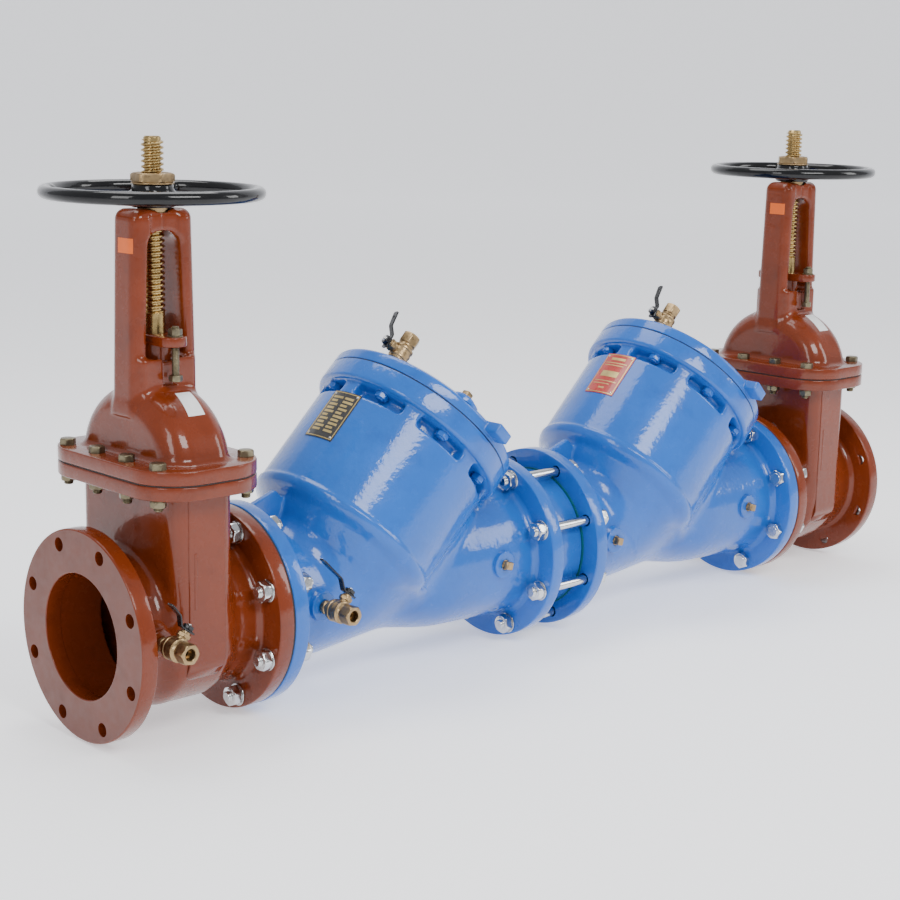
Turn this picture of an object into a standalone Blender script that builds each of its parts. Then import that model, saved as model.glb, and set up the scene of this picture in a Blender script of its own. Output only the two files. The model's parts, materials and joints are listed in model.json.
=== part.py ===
"""Double check valve backflow preventer, nominal 8 inch.

Two outside-screw-and-yoke gate valves stand at the ends of two inclined-cover
check valves, which are bolted together through a spacer ring.  Millimetres in
the constants, metres in the scene.  +X is the flow direction, +Z is up, and
the origin is the centre of the inlet flange's face.
"""

import math

import bmesh
import bpy
from mathutils import Matrix, Vector

# ---------------------------------------------------------------- dimensions
MM = 0.001

FLANGE_R = 171.45        # 13.5 in outside diameter
FLANGE_T = 28.6          # 1.125 in thick
BOLT_CIRCLE_R = 149.225  # 11.75 in bolt circle
BOLT_HOLE_R = 11.1
BOLTS_PER_FLANGE = 8
BORE_R = 101.6           # 8 in bore
GASKET_T = 3.2
GAP = 0.35               # clearance left between pieces that touch
RUN_SIDES = 20           # facets round the run of pipe

GATE_LENGTH = 292.1      # face to face of a gate valve
CHECK_LENGTH = 632.0     # face to face of a check valve casting
SPACER_LENGTH = 85.6
SPACER_R = 133.0

INLET_GATE_X = GATE_LENGTH / 2
CHECK1_X = GATE_LENGTH + GASKET_T
SPACER_X = CHECK1_X + CHECK_LENGTH + GASKET_T
CHECK2_X = SPACER_X + SPACER_LENGTH + GASKET_T
OUTLET_GATE_FACE_X = CHECK2_X + CHECK_LENGTH + GASKET_T
OUTLET_GATE_X = OUTLET_GATE_FACE_X + GATE_LENGTH / 2

# gate valve
COLUMN_X, COLUMN_Y = 58.0, 135.0
NECK_R = 120.0
BODY_PLATE = (234.0, 256.0)
BONNET_PLATE = (258.0, 280.0)
PLATE_X, PLATE_Y = 108.0, 174.0
BONNET_BOLTS = [(sx * 83.0, sy) for sx in (-1, 1) for sy in (-125.0, -41.7, 41.7, 125.0)]
YOKE_TOP = 661.0
WINDOW = (431.0, 625.0)
WINDOW_X = 29.0
STEM_R = 17.5
STEM_TOP = 773.0
WEDGE_R = 106.0
WHEEL_Z, WHEEL_RIM_R, WHEEL_TUBE_R = 687.0, 166.0, 10.5
WHEEL_SPOKES = 4
GLAND_BOLT_Y = 56.0

# check valve, measured from its inlet face; the cover stands at 45 degrees
COVER_X, COVER_Z = 411.0, 257.0
COVER_R, COVER_T = 185.0, 29.0
BARREL_R, BARREL_BORE_R = 172.0, 134.0
COVER_BOLT_R, COVER_BOLTS = 161.0, 8
SEAT_D = 246.0           # depth of the seat shelf below the cover joint
SHELF_T = 22.0
POPPET_STEM_R = 12.0

# ------------------------------------------------------------------ materials
PAINTS = {
    "gate_paint": ((0.37, 0.065, 0.018, 1.0), 0.28, 0.0),
    "check_paint": ((0.07, 0.24, 0.62, 1.0), 0.25, 0.0),
    "wheel_paint": ((0.012, 0.012, 0.014, 1.0), 0.2, 0.0),
    "brass": ((0.72, 0.52, 0.2, 1.0), 0.3, 1.0),
    "bronze": ((0.48, 0.35, 0.17, 1.0), 0.4, 1.0),
    "zinc": ((0.66, 0.66, 0.64, 1.0), 0.3, 1.0),
    "yellow_zinc": ((0.42, 0.35, 0.2, 1.0), 0.45, 1.0),
    "stainless": ((0.6, 0.6, 0.6, 1.0), 0.25, 1.0),
    "lever_steel": ((0.05, 0.05, 0.05, 1.0), 0.35, 1.0),
    "rubber": ((0.02, 0.02, 0.02, 1.0), 0.7, 0.0),
    "green_fibre": ((0.03, 0.3, 0.25, 1.0), 0.6, 0.0),
}


def material(name):
    found = bpy.data.materials.get(name)
    if found:
        return found
    colour, roughness, metallic = PAINTS[name]
    made = bpy.data.materials.new(name)
    made.use_nodes = True
    shader = made.node_tree.nodes["Principled BSDF"]
    shader.inputs["Base Color"].default_value = colour
    shader.inputs["Roughness"].default_value = roughness
    shader.inputs["Metallic"].default_value = metallic
    made.diffuse_color = colour
    return made


# -------------------------------------------------------------- mesh builders
def frame(origin, z_axis, x_hint=(0, 0, 1)):
    """Matrix that takes local Z to z_axis and local X near x_hint."""
    z = Vector(z_axis).normalized()
    x = Vector(x_hint) - z * Vector(x_hint).dot(z)
    if x.length < 1e-6:
        x = Vector((1, 0, 0)) - z * z.x
    x.normalize()
    y = z.cross(x)
    turned = Matrix((x, y, z)).transposed().to_4x4()
    return Matrix.Translation(Vector(origin)) @ turned


def shape(vertices, faces, place=None):
    """A bmesh in millimetres, world axes."""
    bm = bmesh.new()
    made = [bm.verts.new(place @ Vector(v) if place else Vector(v)) for v in vertices]
    for face in faces:
        bm.faces.new([made[i] for i in face])
    bmesh.ops.recalc_face_normals(bm, faces=bm.faces)
    return bm


def lathe(profile, sides, place, phase=0.0):
    """Turns (radius, height) points about local Z; radius 0 closes at a pole."""
    vertices, rings = [], []
    for r, h in profile:
        if r < 1e-9:
            rings.append([len(vertices)])
            vertices.append((0, 0, h))
        else:
            rings.append(list(range(len(vertices), len(vertices) + sides)))
            for k in range(sides):
                a = phase + 2 * math.pi * k / sides
                vertices.append((r * math.cos(a), r * math.sin(a), h))
    closed = profile[0][0] > 0 and profile[-1][0] > 0
    faces = []
    pairs = list(zip(rings, rings[1:])) + ([(rings[-1], rings[0])] if closed else [])
    for a, b in pairs:
        for k in range(sides):
            j = (k + 1) % sides
            if len(a) == 1:
                faces.append((a[0], b[j], b[k]))
            elif len(b) == 1:
                faces.append((a[k], a[j], b[0]))
            else:
                faces.append((a[k], a[j], b[j], b[k]))
    return shape(vertices, faces, place)


def rod(radius, start, end, sides, place, phase=0.0):
    return lathe([(0, start), (radius, start), (radius, end), (0, end)], sides, place, phase)


def loft(sections, place=None):
    """Joins closed outlines of equal count, (points) lists of 3-D points, with end caps."""
    count = len(sections[0])
    vertices = [p for s in sections for p in s]
    faces = [tuple(range(count))[::-1], tuple(range((len(sections) - 1) * count, len(sections) * count))]
    for s in range(len(sections) - 1):
        for k in range(count):
            j = (k + 1) % count
            faces.append((s * count + k, s * count + j, (s + 1) * count + j, (s + 1) * count + k))
    return shape(vertices, faces, place)


def rounded(half_x, half_y, radius, z, per_corner=3):
    """Outline of a rounded rectangle at height z."""
    points = []
    for cx, cy, start in ((1, 1, 0), (-1, 1, 90), (-1, -1, 180), (1, -1, 270)):
        for k in range(per_corner):
            a = math.radians(start + 90 * k / (per_corner - 1))
            points.append((cx * (half_x - radius) + radius * math.cos(a),
                           cy * (half_y - radius) + radius * math.sin(a), z))
    return points


def prism(outline_xy, z0, z1, place=None):
    return loft([[(x, y, z0) for x, y in outline_xy], [(x, y, z1) for x, y in outline_xy]], place)


def box(low, high, place=None):
    (x0, y0, z0), (x1, y1, z1) = low, high
    return prism([(x0, y0), (x1, y0), (x1, y1), (x0, y1)], z0, z1, place)


def tube(points, radius, sides, closed=False):
    """A round bar swept along points with a steady frame."""
    vertices, faces, count = [], [], len(points)
    up = Vector((0, 0, 1))
    for i, p in enumerate(points):
        if closed:
            ahead = Vector(points[(i + 1) % count]) - Vector(points[i - 1])
        else:
            ahead = Vector(points[min(i + 1, count - 1)]) - Vector(points[max(i - 1, 0)])
        ahead.normalize()
        side = ahead.cross(up)
        if side.length < 1e-3:
            side = Vector((1, 0, 0))
        side.normalize()
        top = side.cross(ahead)
        for k in range(sides):
            a = 2 * math.pi * (k + 0.5) / sides
            vertices.append(Vector(p) + side * radius * math.cos(a) + top * radius * math.sin(a))
    for i in range(count if closed else count - 1):
        n = (i + 1) % count
        for k in range(sides):
            j = (k + 1) % sides
            faces.append((i * sides + k, i * sides + j, n * sides + j, n * sides + k))
    if not closed:
        faces += [tuple(range(sides)), tuple(range((count - 1) * sides, count * sides))]
    return shape(vertices, faces)


# ------------------------------------------------------------- object helpers
def add(name, bm, paint, origin=(0, 0, 0), smooth=True):
    """An object whose origin is at `origin`, holding the shape; `to_metres` scales all of them at the end."""
    mesh = bpy.data.meshes.new(name)
    bmesh.ops.transform(bm, matrix=Matrix.Translation(-Vector(origin)), verts=bm.verts)
    bm.to_mesh(mesh)
    bm.free()
    obj = bpy.data.objects.new(name, mesh)
    obj.location = Vector(origin)
    bpy.context.scene.collection.objects.link(obj)
    if paint:
        mesh.materials.append(material(paint))
    if smooth:
        mesh.shade_smooth()
        mesh.set_sharp_from_angle(angle=math.radians(30))
    return obj


def helper(bm):
    obj = add("cutter", bm, None, smooth=False)
    obj.hide_render = True
    obj.display_type = "WIRE"
    return obj


def evaluated(obj):
    bpy.context.view_layer.update()
    return bpy.data.meshes.new_from_object(obj.evaluated_get(bpy.context.evaluated_depsgraph_get()))


def is_closed(mesh):
    bm = bmesh.new()
    bm.from_mesh(mesh)
    good = all(len(edge.link_faces) == 2 for edge in bm.edges)
    bm.free()
    return good


def tidy(mesh):
    """Dissolves the flat faces' inner edges that a Boolean leaves, if the mesh stays closed."""
    bm = bmesh.new()
    bm.from_mesh(mesh)
    bmesh.ops.dissolve_degenerate(bm, dist=0.004, edges=bm.edges)
    bmesh.ops.dissolve_limit(bm, angle_limit=math.radians(0.4), verts=bm.verts, edges=bm.edges)
    if all(len(edge.link_faces) == 2 for edge in bm.edges):
        bm.to_mesh(mesh)
    bm.free()


def combine(obj, operation, shapes):
    """Boolean modifiers for each shape, then the result kept as plain mesh.

    EXACT is tried first; where it leaves an open edge, MANIFOLD does the same cut."""
    helpers = [helper(s) for s in shapes]
    for h in helpers:
        step = obj.modifiers.new(operation.lower(), "BOOLEAN")
        step.operation = operation
        step.solver = "EXACT"
        step.object = h
    made = evaluated(obj)
    if not is_closed(made):
        for step in obj.modifiers:
            step.solver = "MANIFOLD"
        made = evaluated(obj)
    obj.modifiers.clear()
    tidy(made)
    old = obj.data
    obj.data = made
    made.name = obj.name
    bpy.data.meshes.remove(old)
    for h in helpers:
        mesh = h.data
        bpy.data.objects.remove(h)
        bpy.data.meshes.remove(mesh)
    made.shade_smooth()
    made.set_sharp_from_angle(angle=math.radians(30))
    return obj


def joined(shapes):
    """Several closed shapes in one bmesh, for cutters and for pre-united groups."""
    whole = bmesh.new()
    for s in shapes:
        mesh = bpy.data.meshes.new("part")
        s.to_mesh(mesh)
        s.free()
        whole.from_mesh(mesh)
        bpy.data.meshes.remove(mesh)
    return whole


# ------------------------------------------------------------------ fasteners
def circle_places(x, count, radius, axis="X", centre=(0, 0, 0), start=None):
    """Frames round a circle in the YZ plane at x, with local Z along +X."""
    start = math.pi / count if start is None else start
    return [frame((x, radius * math.sin(start + 2 * math.pi * k / count),
                   radius * math.cos(start + 2 * math.pi * k / count)), (1, 0, 0))
            for k in range(count)]


def bolt(place, grip, shank_r, head_r, head_t, tail=0.0, nut_t=None):
    """Hex head below, shank, hex nut above, in one turned six-sided shape."""
    nut_t = head_t if nut_t is None else nut_t
    p = [(0, -head_t), (head_r, -head_t), (head_r, 0), (shank_r, 0), (shank_r, grip)]
    if nut_t > 0:
        p += [(head_r, grip), (head_r, grip + nut_t)]
        if tail > 0:
            p += [(shank_r, grip + nut_t)]
    if tail > 0:
        p += [(shank_r, grip + nut_t + tail)]
    p += [(0, p[-1][1])]
    return lathe(p, 6, place)


def ring_joint_bolts(name, x_low, x_high, gap_x):
    """Eight bolts round a flanged joint, tied by a thin ring in the gasket's gap."""
    grip = x_high - x_low + 2 * GAP
    shapes = [bolt(p, grip, 9.5, 17.5, 16.0)
              for p in circle_places(x_low - GAP, BOLTS_PER_FLANGE, BOLT_CIRCLE_R)]
    tie = lathe([(BOLT_CIRCLE_R + 5, gap_x - 0.9), (BOLT_CIRCLE_R + 13, gap_x - 0.9),
                 (BOLT_CIRCLE_R + 13, gap_x + 0.9), (BOLT_CIRCLE_R + 5, gap_x + 0.9)],
                8, frame((0, 0, 0), (1, 0, 0)))
    obj = add(name, tie, "zinc")
    return combine(obj, "UNION", [joined(shapes)])


def flange_gasket(name, x, paint, outer=BOLT_CIRCLE_R - 14.0):
    return add(name, lathe([(BORE_R, x + GAP), (outer, x + GAP), (outer, x + GASKET_T - GAP),
                            (BORE_R, x + GASKET_T - GAP)], RUN_SIDES, frame((0, 0, 0), (1, 0, 0))), paint)


def flange_holes(x0, x1):
    return joined([rod(BOLT_HOLE_R, 0, x1 - x0, 6, p)
                   for p in circle_places(x0, BOLTS_PER_FLANGE, BOLT_CIRCLE_R)])


# ----------------------------------------------------------------- gate valve
def gate_valve(prefix, xc, side_boss):
    centre = Matrix.Translation((xc, 0, 0))
    up = frame((xc, 0, 0), (0, 0, 1), (1, 0, 0))
    along = frame((xc, 0, 0), (1, 0, 0))
    half = GATE_LENGTH / 2
    back = half - FLANGE_T

    # body: flanged run, flat column for the wedge, top plate
    body = add(prefix + "_body", lathe(
        [(0, -half), (FLANGE_R, -half), (FLANGE_R, -back), (NECK_R, -back),
         (NECK_R, back), (FLANGE_R, back), (FLANGE_R, half), (0, half)],
        RUN_SIDES, along), "gate_paint")
    side = [(135, 235), (135, -40), (105, -84), (58, -117), (0, -131), (-58, -117), (-105, -84), (-135, -40), (-135, 235)]
    column = loft([[(x, y, z) for y, z in pts] for x, pts in
                   ((-COLUMN_X, [(y * 0.78, z * (1 if z > 0 else 0.9)) for y, z in side]),
                    (-COLUMN_X + 24, side), (COLUMN_X - 24, side),
                    (COLUMN_X, [(y * 0.78, z * (1 if z > 0 else 0.9)) for y, z in side]))], centre)
    plate = loft([rounded(PLATE_X, PLATE_Y, 80, z, 4) for z in BODY_PLATE], centre)
    shapes = [column, plate]
    if side_boss is not None:
        shapes.append(rod(24, 80, 131, 12, frame((side_boss, 0, 8), (0, -1, 0))))
    combine(body, "UNION", shapes)
    inner = [(121, 257), (121, -20), (94, -70), (52, -104), (0, -117), (-52, -104), (-94, -70), (-121, -20), (-121, 257)]
    cavity = loft([[(x, y, z) for y, z in pts] for x, pts in
                   ((-43, [(y * 0.82, z * (1 if z > 0 else 0.93)) for y, z in inner]), (-30, inner), (30, inner),
                    (43, [(y * 0.82, z * (1 if z > 0 else 0.93)) for y, z in inner]))], centre)
    cuts = [cavity, rod(BORE_R, -half - 2, half + 2, RUN_SIDES, along),
            flange_holes(xc - half - 1, xc - back + 1), flange_holes(xc + back - 1, xc + half + 1),
            joined([rod(9.2, BODY_PLATE[0] - 1, BODY_PLATE[1] + 1, 6, centre @ Matrix.Translation((x, y, 0)))
                    for x, y in BONNET_BOLTS])]
    if side_boss is not None:
        cuts.append(joined([rod(9.9, 116, 133, 8, frame((side_boss, 0, 8), (0, -1, 0)))]))
        cuts.append(rod(1.8, 90, 117, 6, frame((side_boss, 0, 8), (0, -1, 0))))
    combine(body, "DIFFERENCE", cuts)

    # bonnet gasket
    gasket = add(prefix + "_bonnet_gasket", loft([rounded(68, 146, 50, z) for z in (256.4, 257.6)], centre), "rubber")
    combine(gasket, "DIFFERENCE", [loft([rounded(50, 126, 40, z) for z in (255, 259)], centre)])

    # bonnet with its yoke, one casting
    bonnet = add(prefix + "_bonnet", loft([rounded(PLATE_X, PLATE_Y, 80, z, 4) for z in BONNET_PLATE], centre), "gate_paint")
    dome = loft([rounded(62, 137, 45, 270), rounded(62, 131, 45, 310), rounded(60, 112, 45, 342),
                 rounded(58, 84, 40, 364), rounded(55, 56, 34, 376)], centre)
    block = loft([rounded(61, 44, 20, 350), rounded(58, 43, 18, 433)], centre)
    yoke = loft([rounded(62, 35, 22, 390), rounded(57, 34, 22, 650), rounded(48, 28, 22, YOKE_TOP)], centre)
    combine(bonnet, "UNION", [dome, block, yoke])
    hollow = loft([rounded(44, 121, 30, 257), rounded(44, 113, 30, 300), rounded(42, 92, 30, 330),
                   rounded(32, 50, 20, 352)], centre)
    combine(bonnet, "DIFFERENCE", [
        hollow,
        box((-WINDOW_X, -80, WINDOW[0]), (WINDOW_X, 80, WINDOW[1]), centre),
        rod(STEM_R + 0.6, 340, 440, 16, up),
        rod(27, 408, 436, 12, up),
        rod(24.8, 618, YOKE_TOP + 2, 16, up),
        joined([rod(9.2, BONNET_PLATE[0] - 1, BONNET_PLATE[1] + 1, 6, centre @ Matrix.Translation((x, y, 0)))
                for x, y in BONNET_BOLTS])])

    # bonnet bolts, tied by a thin loop in the joint
    loop = add(prefix + "_bonnet_bolts", loft([rounded(88, 158, 30, z, 2) for z in (256.65, 257.35)], centre), "yellow_zinc")
    combine(loop, "DIFFERENCE", [loft([rounded(79, 149, 26, z, 2) for z in (255, 259)], centre)])
    low = BODY_PLATE[0] - GAP
    combine(loop, "UNION", [joined([bolt(centre @ Matrix.Translation((x, y, low)), BONNET_PLATE[1] + GAP - low, 7.8, 13.0, 10.5)
                                    for x, y in BONNET_BOLTS])])

    # wedge with the slot that carries the stem's head
    wedge = add(prefix + "_wedge", lathe(
        [(0, -26), (92, -26), (WEDGE_R, -17), (WEDGE_R, 17), (92, 26), (0, 26)], RUN_SIDES, along), "rubber",
        (xc, 0, 0))
    combine(wedge, "UNION", [box((-26, -38, 60), (26, 38, 122), centre)])
    combine(wedge, "DIFFERENCE", [box((-40, -24, 96), (40, 24, 110), centre), box((-40, -18.4, 109), (40, 18.4, 130), centre)])

    # stem, drawn at its thread's outside diameter
    stem = add(prefix + "_stem", rod(STEM_R, 104, STEM_TOP - 2, 16, up), "brass", (xc, 0, 0))
    combine(stem, "UNION", [box((-20, -23, 96.4), (20, 23, 109.6), centre), rod(15.5, STEM_TOP - 4, STEM_TOP, 16, up)])

    # yoke nut, handwheel and the nut that holds it
    add(prefix + "_yoke_nut", lathe(
        [(STEM_R + 0.6, 614), (28, 614), (28, 624.6), (24, 624.6), (24, 716), (STEM_R + 0.6, 716)], 16, up), "bronze", (xc, 0, 0))
    wheel = add(prefix + "_handwheel", tube(
        [(xc + WHEEL_RIM_R * math.cos(2 * math.pi * k / 24), WHEEL_RIM_R * math.sin(2 * math.pi * k / 24), WHEEL_Z)
         for k in range(24)], WHEEL_TUBE_R, 6, True), "wheel_paint", (xc, 0, 0))
    hub = lathe([(24.6, 662), (37, 662), (34, 700), (24.6, 700)], 16, up)
    spokes = []
    for k in range(WHEEL_SPOKES):
        turn = Matrix.Rotation(2 * math.pi * (k + 0.5) / WHEEL_SPOKES, 4, "Z")
        spokes.append(loft([[(r, -w, z - h), (r, w, z - h), (r, w * 0.8, z + h), (r, -w * 0.8, z + h)]
                            for r, w, z, h in ((30, 14, 679, 8), (100, 11, 681, 7), (160, 9, 686.5, 5.5))],
                           centre @ turn))
    combine(wheel, "UNION", [hub, joined(spokes)])
    add(prefix + "_handwheel_nut", hex_nut(xc, 700.4, 717, 34.5, 25.2), "bronze", (xc, 0, 0))

    # gland follower and its two bolts
    gland = add(prefix + "_gland", loft([rounded(22, 70, 20, 452), rounded(22, 70, 20, 468)], centre), "gate_paint")
    combine(gland, "UNION", [rod(25.5, 412, 455, 12, up)])
    combine(gland, "DIFFERENCE", [rod(STEM_R + 0.6, 405, 475, 16, up),
                                  joined([rod(7.5, 445, 475, 6, centre @ Matrix.Translation((0, s * GLAND_BOLT_Y, 0))) for s in (-1, 1)])])
    tie = add(prefix + "_gland_bolts", box((-28.5, -59, 441), (28.5, 59, 443), centre), "yellow_zinc")
    combine(tie, "DIFFERENCE", [box((-26.2, -53.5, 438), (26.2, 53.5, 446), centre)])
    combine(tie, "UNION", [joined([lathe([(0, 398), (10, 398), (10, 408), (6, 408), (6, 468.4), (11, 468.4), (11, 482), (0, 482)],
                                         6, centre @ Matrix.Translation((0, s * GLAND_BOLT_Y, 0))) for s in (-1, 1)])])


def hex_nut(xc, z0, z1, radius, bore):
    """Hex nut with a round bore, bridged ring by ring without a Boolean."""
    vertices, faces, n = [], [], 12
    for z in (z0, z1):
        for k in range(n):
            a = 2 * math.pi * k / n
            sector = (a % (math.pi / 3)) - math.pi / 6
            r = radius * math.cos(math.pi / 6) / math.cos(sector)
            vertices.append((xc + r * math.cos(a), r * math.sin(a), z))
        for k in range(n):
            a = 2 * math.pi * k / n
            vertices.append((xc + bore * math.cos(a), bore * math.sin(a), z))
    for k in range(n):
        j = (k + 1) % n
        faces += [(k, j, 2 * n + j, 2 * n + k), (n + j, n + k, 3 * n + k, 3 * n + j),
                  (k, n + k, n + j, j), (2 * n + k, 2 * n + j, 3 * n + j, 3 * n + k)]
    return shape(vertices, faces)


# ---------------------------------------------------------------- check valve
TILT = Vector((math.sqrt(0.5), 0, math.sqrt(0.5)))      # outward normal of the cover
SLOPE = Vector((math.sqrt(0.5), 0, -math.sqrt(0.5)))    # down the cover, downstream


def oblique(x_ring, r_ring, r_plane, depth, x0, extra=None):
    """Cutter for a straight passage that ends on the inclined plane `depth` below the cover joint."""
    n = RUN_SIDES
    plane_x = COVER_X + COVER_Z - depth / math.sqrt(0.5)
    ring = [(x0 + x_ring, r_ring * math.sin(2 * math.pi * k / n), r_ring * math.cos(2 * math.pi * k / n)) for k in range(n)]
    end = [(x0 + plane_x - r_plane * math.cos(2 * math.pi * k / n), r_plane * math.sin(2 * math.pi * k / n),
            r_plane * math.cos(2 * math.pi * k / n)) for k in range(n)]
    sections = [ring] + ([[(x0 + extra[0], extra[1] * math.sin(2 * math.pi * k / n), extra[1] * math.cos(2 * math.pi * k / n))
                           for k in range(n)]] if extra else []) + [end]
    return loft(sections)


def check_valve(prefix, x0, side_ports, cover_plug):
    along = frame((x0, 0, 0), (1, 0, 0))
    joint = Vector((x0 + COVER_X, 0, COVER_Z))
    lean = frame(joint, TILT, SLOPE)      # local X down the slope, local Y = Z x X, local Z out of the cover

    body = add(prefix + "_body", lathe(
        [(0, 0), (FLANGE_R, 0), (FLANGE_R, FLANGE_T), (124, FLANGE_T), (114, 150), (98, 300),
         (120, 410), (125, CHECK_LENGTH - FLANGE_T), (FLANGE_R, CHECK_LENGTH - FLANGE_T),
         (FLANGE_R, CHECK_LENGTH), (0, CHECK_LENGTH)], RUN_SIDES, along), "check_paint")
    barrel = lathe([(0, 0), (COVER_R, 0), (COVER_R, -38), (146, -40), (146, -72), (BARREL_R, -76), (BARREL_R, -266),
                    (116, -345), (0, -345)], 20, lean)
    ports = [rod(25, 70, 128, 12, frame((x0 + x, 0, z), (0, -1, 0))) for x, z in side_ports]
    combine(body, "UNION", [barrel] + ports)
    cuts = [lathe([(0, 2), (BARREL_BORE_R, 2), (BARREL_BORE_R, -SEAT_D), (0, -SEAT_D)], 20, lean),
            rod(94, -SEAT_D - SHELF_T - 4, -SEAT_D + 4, 20, lean),
            lathe([(0, -SEAT_D - SHELF_T), (104, -SEAT_D - SHELF_T), (96, -322), (0, -335)], 16, lean),
            oblique(-2, BORE_R, 86, SEAT_D + SHELF_T + 1.3, x0, (120, 98)),
            oblique(CHECK_LENGTH + 2, BORE_R, 94, SEAT_D - 1.3, x0, (430, BORE_R)),
            flange_holes(x0 - 1, x0 + FLANGE_T + 1),
            flange_holes(x0 + CHECK_LENGTH - FLANGE_T - 1, x0 + CHECK_LENGTH + 1),
            joined([rod(9.2, -41, 1, 6, lean @ Matrix.Translation((COVER_BOLT_R * math.cos(a), COVER_BOLT_R * math.sin(a), 0)))
                    for a in (math.pi / COVER_BOLTS + 2 * math.pi * k / COVER_BOLTS for k in range(COVER_BOLTS))])]
    cuts += [rod(9.9, 85, 130, 8, frame((x0 + x, 0, z), (0, -1, 0))) for x, z in side_ports]
    combine(body, "DIFFERENCE", cuts)

    # cover with its guide boss, port boss and the square lug on the rim
    cover = add(prefix + "_cover", lathe(
        [(0, 2 + COVER_T), (172, 2 + COVER_T), (182, 24), (184.5, 2), (30, 2), (26, -60), (0, -60)], 20, lean), "check_paint")
    lug = box((-20, -213, 8), (20, -170, 28), lean)
    combine(cover, "UNION", [lug] + ([rod(20, 20, 38, 12, lean @ Matrix.Translation((-58, -140, 0)))] if cover_plug else []))
    cuts = [rod(POPPET_STEM_R + 0.5, -62, 18, 12, lean), rod(9.9, 16, 42, 8, lean @ Matrix.Translation((-118, 3, 0))),
            joined([rod(9.2, 0, 22, 6, lean @ Matrix.Translation((COVER_BOLT_R * math.cos(a), COVER_BOLT_R * math.sin(a), 0)))
                    for a in (math.pi / COVER_BOLTS + 2 * math.pi * k / COVER_BOLTS for k in range(COVER_BOLTS))]),
            rod(4, -2, 25, 8, lean @ Matrix.Translation((-118, 3, 0)))]
    if cover_plug:
        cuts.append(rod(9.9, 18, 40, 8, lean @ Matrix.Translation((-58, -140, 0))))
    combine(cover, "DIFFERENCE", cuts)

    add(prefix + "_cover_gasket", lathe([(BARREL_BORE_R + 3, 0.35), (149, 0.35), (149, 1.65), (BARREL_BORE_R + 3, 1.65)], 20, lean), "rubber")
    bolts = add(prefix + "_cover_bolts", lathe([(158, 0.6), (164, 0.6), (164, 1.4), (158, 1.4)], 16, lean), "check_paint")
    combine(bolts, "UNION", [joined([
        lathe([(0, -50), (12.5, -50), (12.5, -40.4), (7.8, -40.4), (7.8, 20), (0, 20)], 6,
              lean @ Matrix.Translation((COVER_BOLT_R * math.cos(a), COVER_BOLT_R * math.sin(a), 0)))
        for a in (math.pi / COVER_BOLTS + 2 * math.pi * k / COVER_BOLTS for k in range(COVER_BOLTS))])])

    seat = -SEAT_D
    add(prefix + "_seat_ring", lathe([(84, seat - 18), (92.4, seat - 18), (92.4, seat + GAP), (112, seat + GAP), (96, seat + 15),
                                      (84, seat + 15)], 16, lean), "bronze")
    poppet = add(prefix + "_disc", lathe(
        [(0, seat + 15.4), (102, seat + 15.4), (104, seat + 30), (30, seat + 42),
         (POPPET_STEM_R, seat + 46), (POPPET_STEM_R, -42), (0, -42)], 18, lean), "bronze", joint)
    turns, steps = 5, 8
    low, high = seat + 47.0, -4.5
    coil = []
    for k in range(turns * steps + 1):
        a = 2 * math.pi * k / steps
        coil.append(lean @ Vector((44 * math.cos(a), 44 * math.sin(a), low + (high - low) * k / (turns * steps))))
    add(prefix + "_spring", tube(coil, 4.5, 4), "stainless", joint)


# ------------------------------------------------------------ plugs and cocks
def square_plug(name, base, outward, hint=(0, 0, 1)):
    place = frame(base, outward, hint)
    plug = add(name, lathe([(0, -14), (8.9, -14), (8.9, 3), (0, 3)], 8, place), "bronze")
    return combine(plug, "UNION", [box((-7.5, -7.5, 2), (7.5, 7.5, 13), place)])


def test_cock(prefix, base, flow, stem_dir, lever_dir, reach=84):
    """Ball valve on a nipple: flow leaves along `flow`, the stem stands on `stem_dir`."""
    run = frame(base, flow, stem_dir)         # local X is the stem, local Z the flow
    ball_at = run @ Vector((0, 0, 36))
    spin = frame(ball_at, run.to_3x3() @ Vector((1, 0, 0)), lever_dir)   # local Z is the stem, local X the lever
    body = add(prefix + "_body", lathe(
        [(0, -13), (8.9, -13), (8.9, 5), (19, 22), (19, 47), (15.5, 52), (15.5, 76), (0, 76)], 8, run), "bronze")
    combine(body, "UNION", [rod(9, 0, 31, 8, spin)])
    combine(body, "DIFFERENCE", [rod(6.5, -15, 80, 6, run),
                                 lathe([(0, -12.8), (12.8, -6), (12.8, 6), (0, 12.8)], 8, spin), rod(5.2, 0, 33, 8, spin)])
    ball = add(prefix + "_ball", lathe([(0, -11.6), (11.6, -5), (11.6, 5), (0, 11.6)], 8, spin), "stainless", ball_at)
    combine(ball, "UNION", [rod(4.4, 5, 44, 8, spin)])
    combine(ball, "DIFFERENCE", [rod(5.6, -20, 20, 6, spin @ Matrix.Rotation(math.pi / 2, 4, "Y"))])
    lever = add(prefix + "_lever", loft([[(x, -7, z), (x, 7, z), (x, 7, z + 3), (x, -7, z + 3)] for x, z in
                                         ((-9, 32), (14, 32), (min(30, reach - 25), 44), (reach, 50))], spin), "lever_steel", ball_at)
    combine(lever, "UNION", [rod(9.5, 34, 41, 6, spin)])
    combine(lever, "DIFFERENCE", [rod(4.9, 30, 45, 8, spin)])


# ---------------------------------------------------------------- the object
for left_over in list(bpy.data.objects):
    bpy.data.objects.remove(left_over)

gate_valve("inlet_gate", INLET_GATE_X, 62.0)
gate_valve("outlet_gate", OUTLET_GATE_X, None)
check_valve("check1", CHECK1_X, [(94.0, 5.0), (522.0, 3.0)], True)
check_valve("check2", CHECK2_X, [(101.0, 0.0), (518.0, 5.0)], False)

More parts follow.
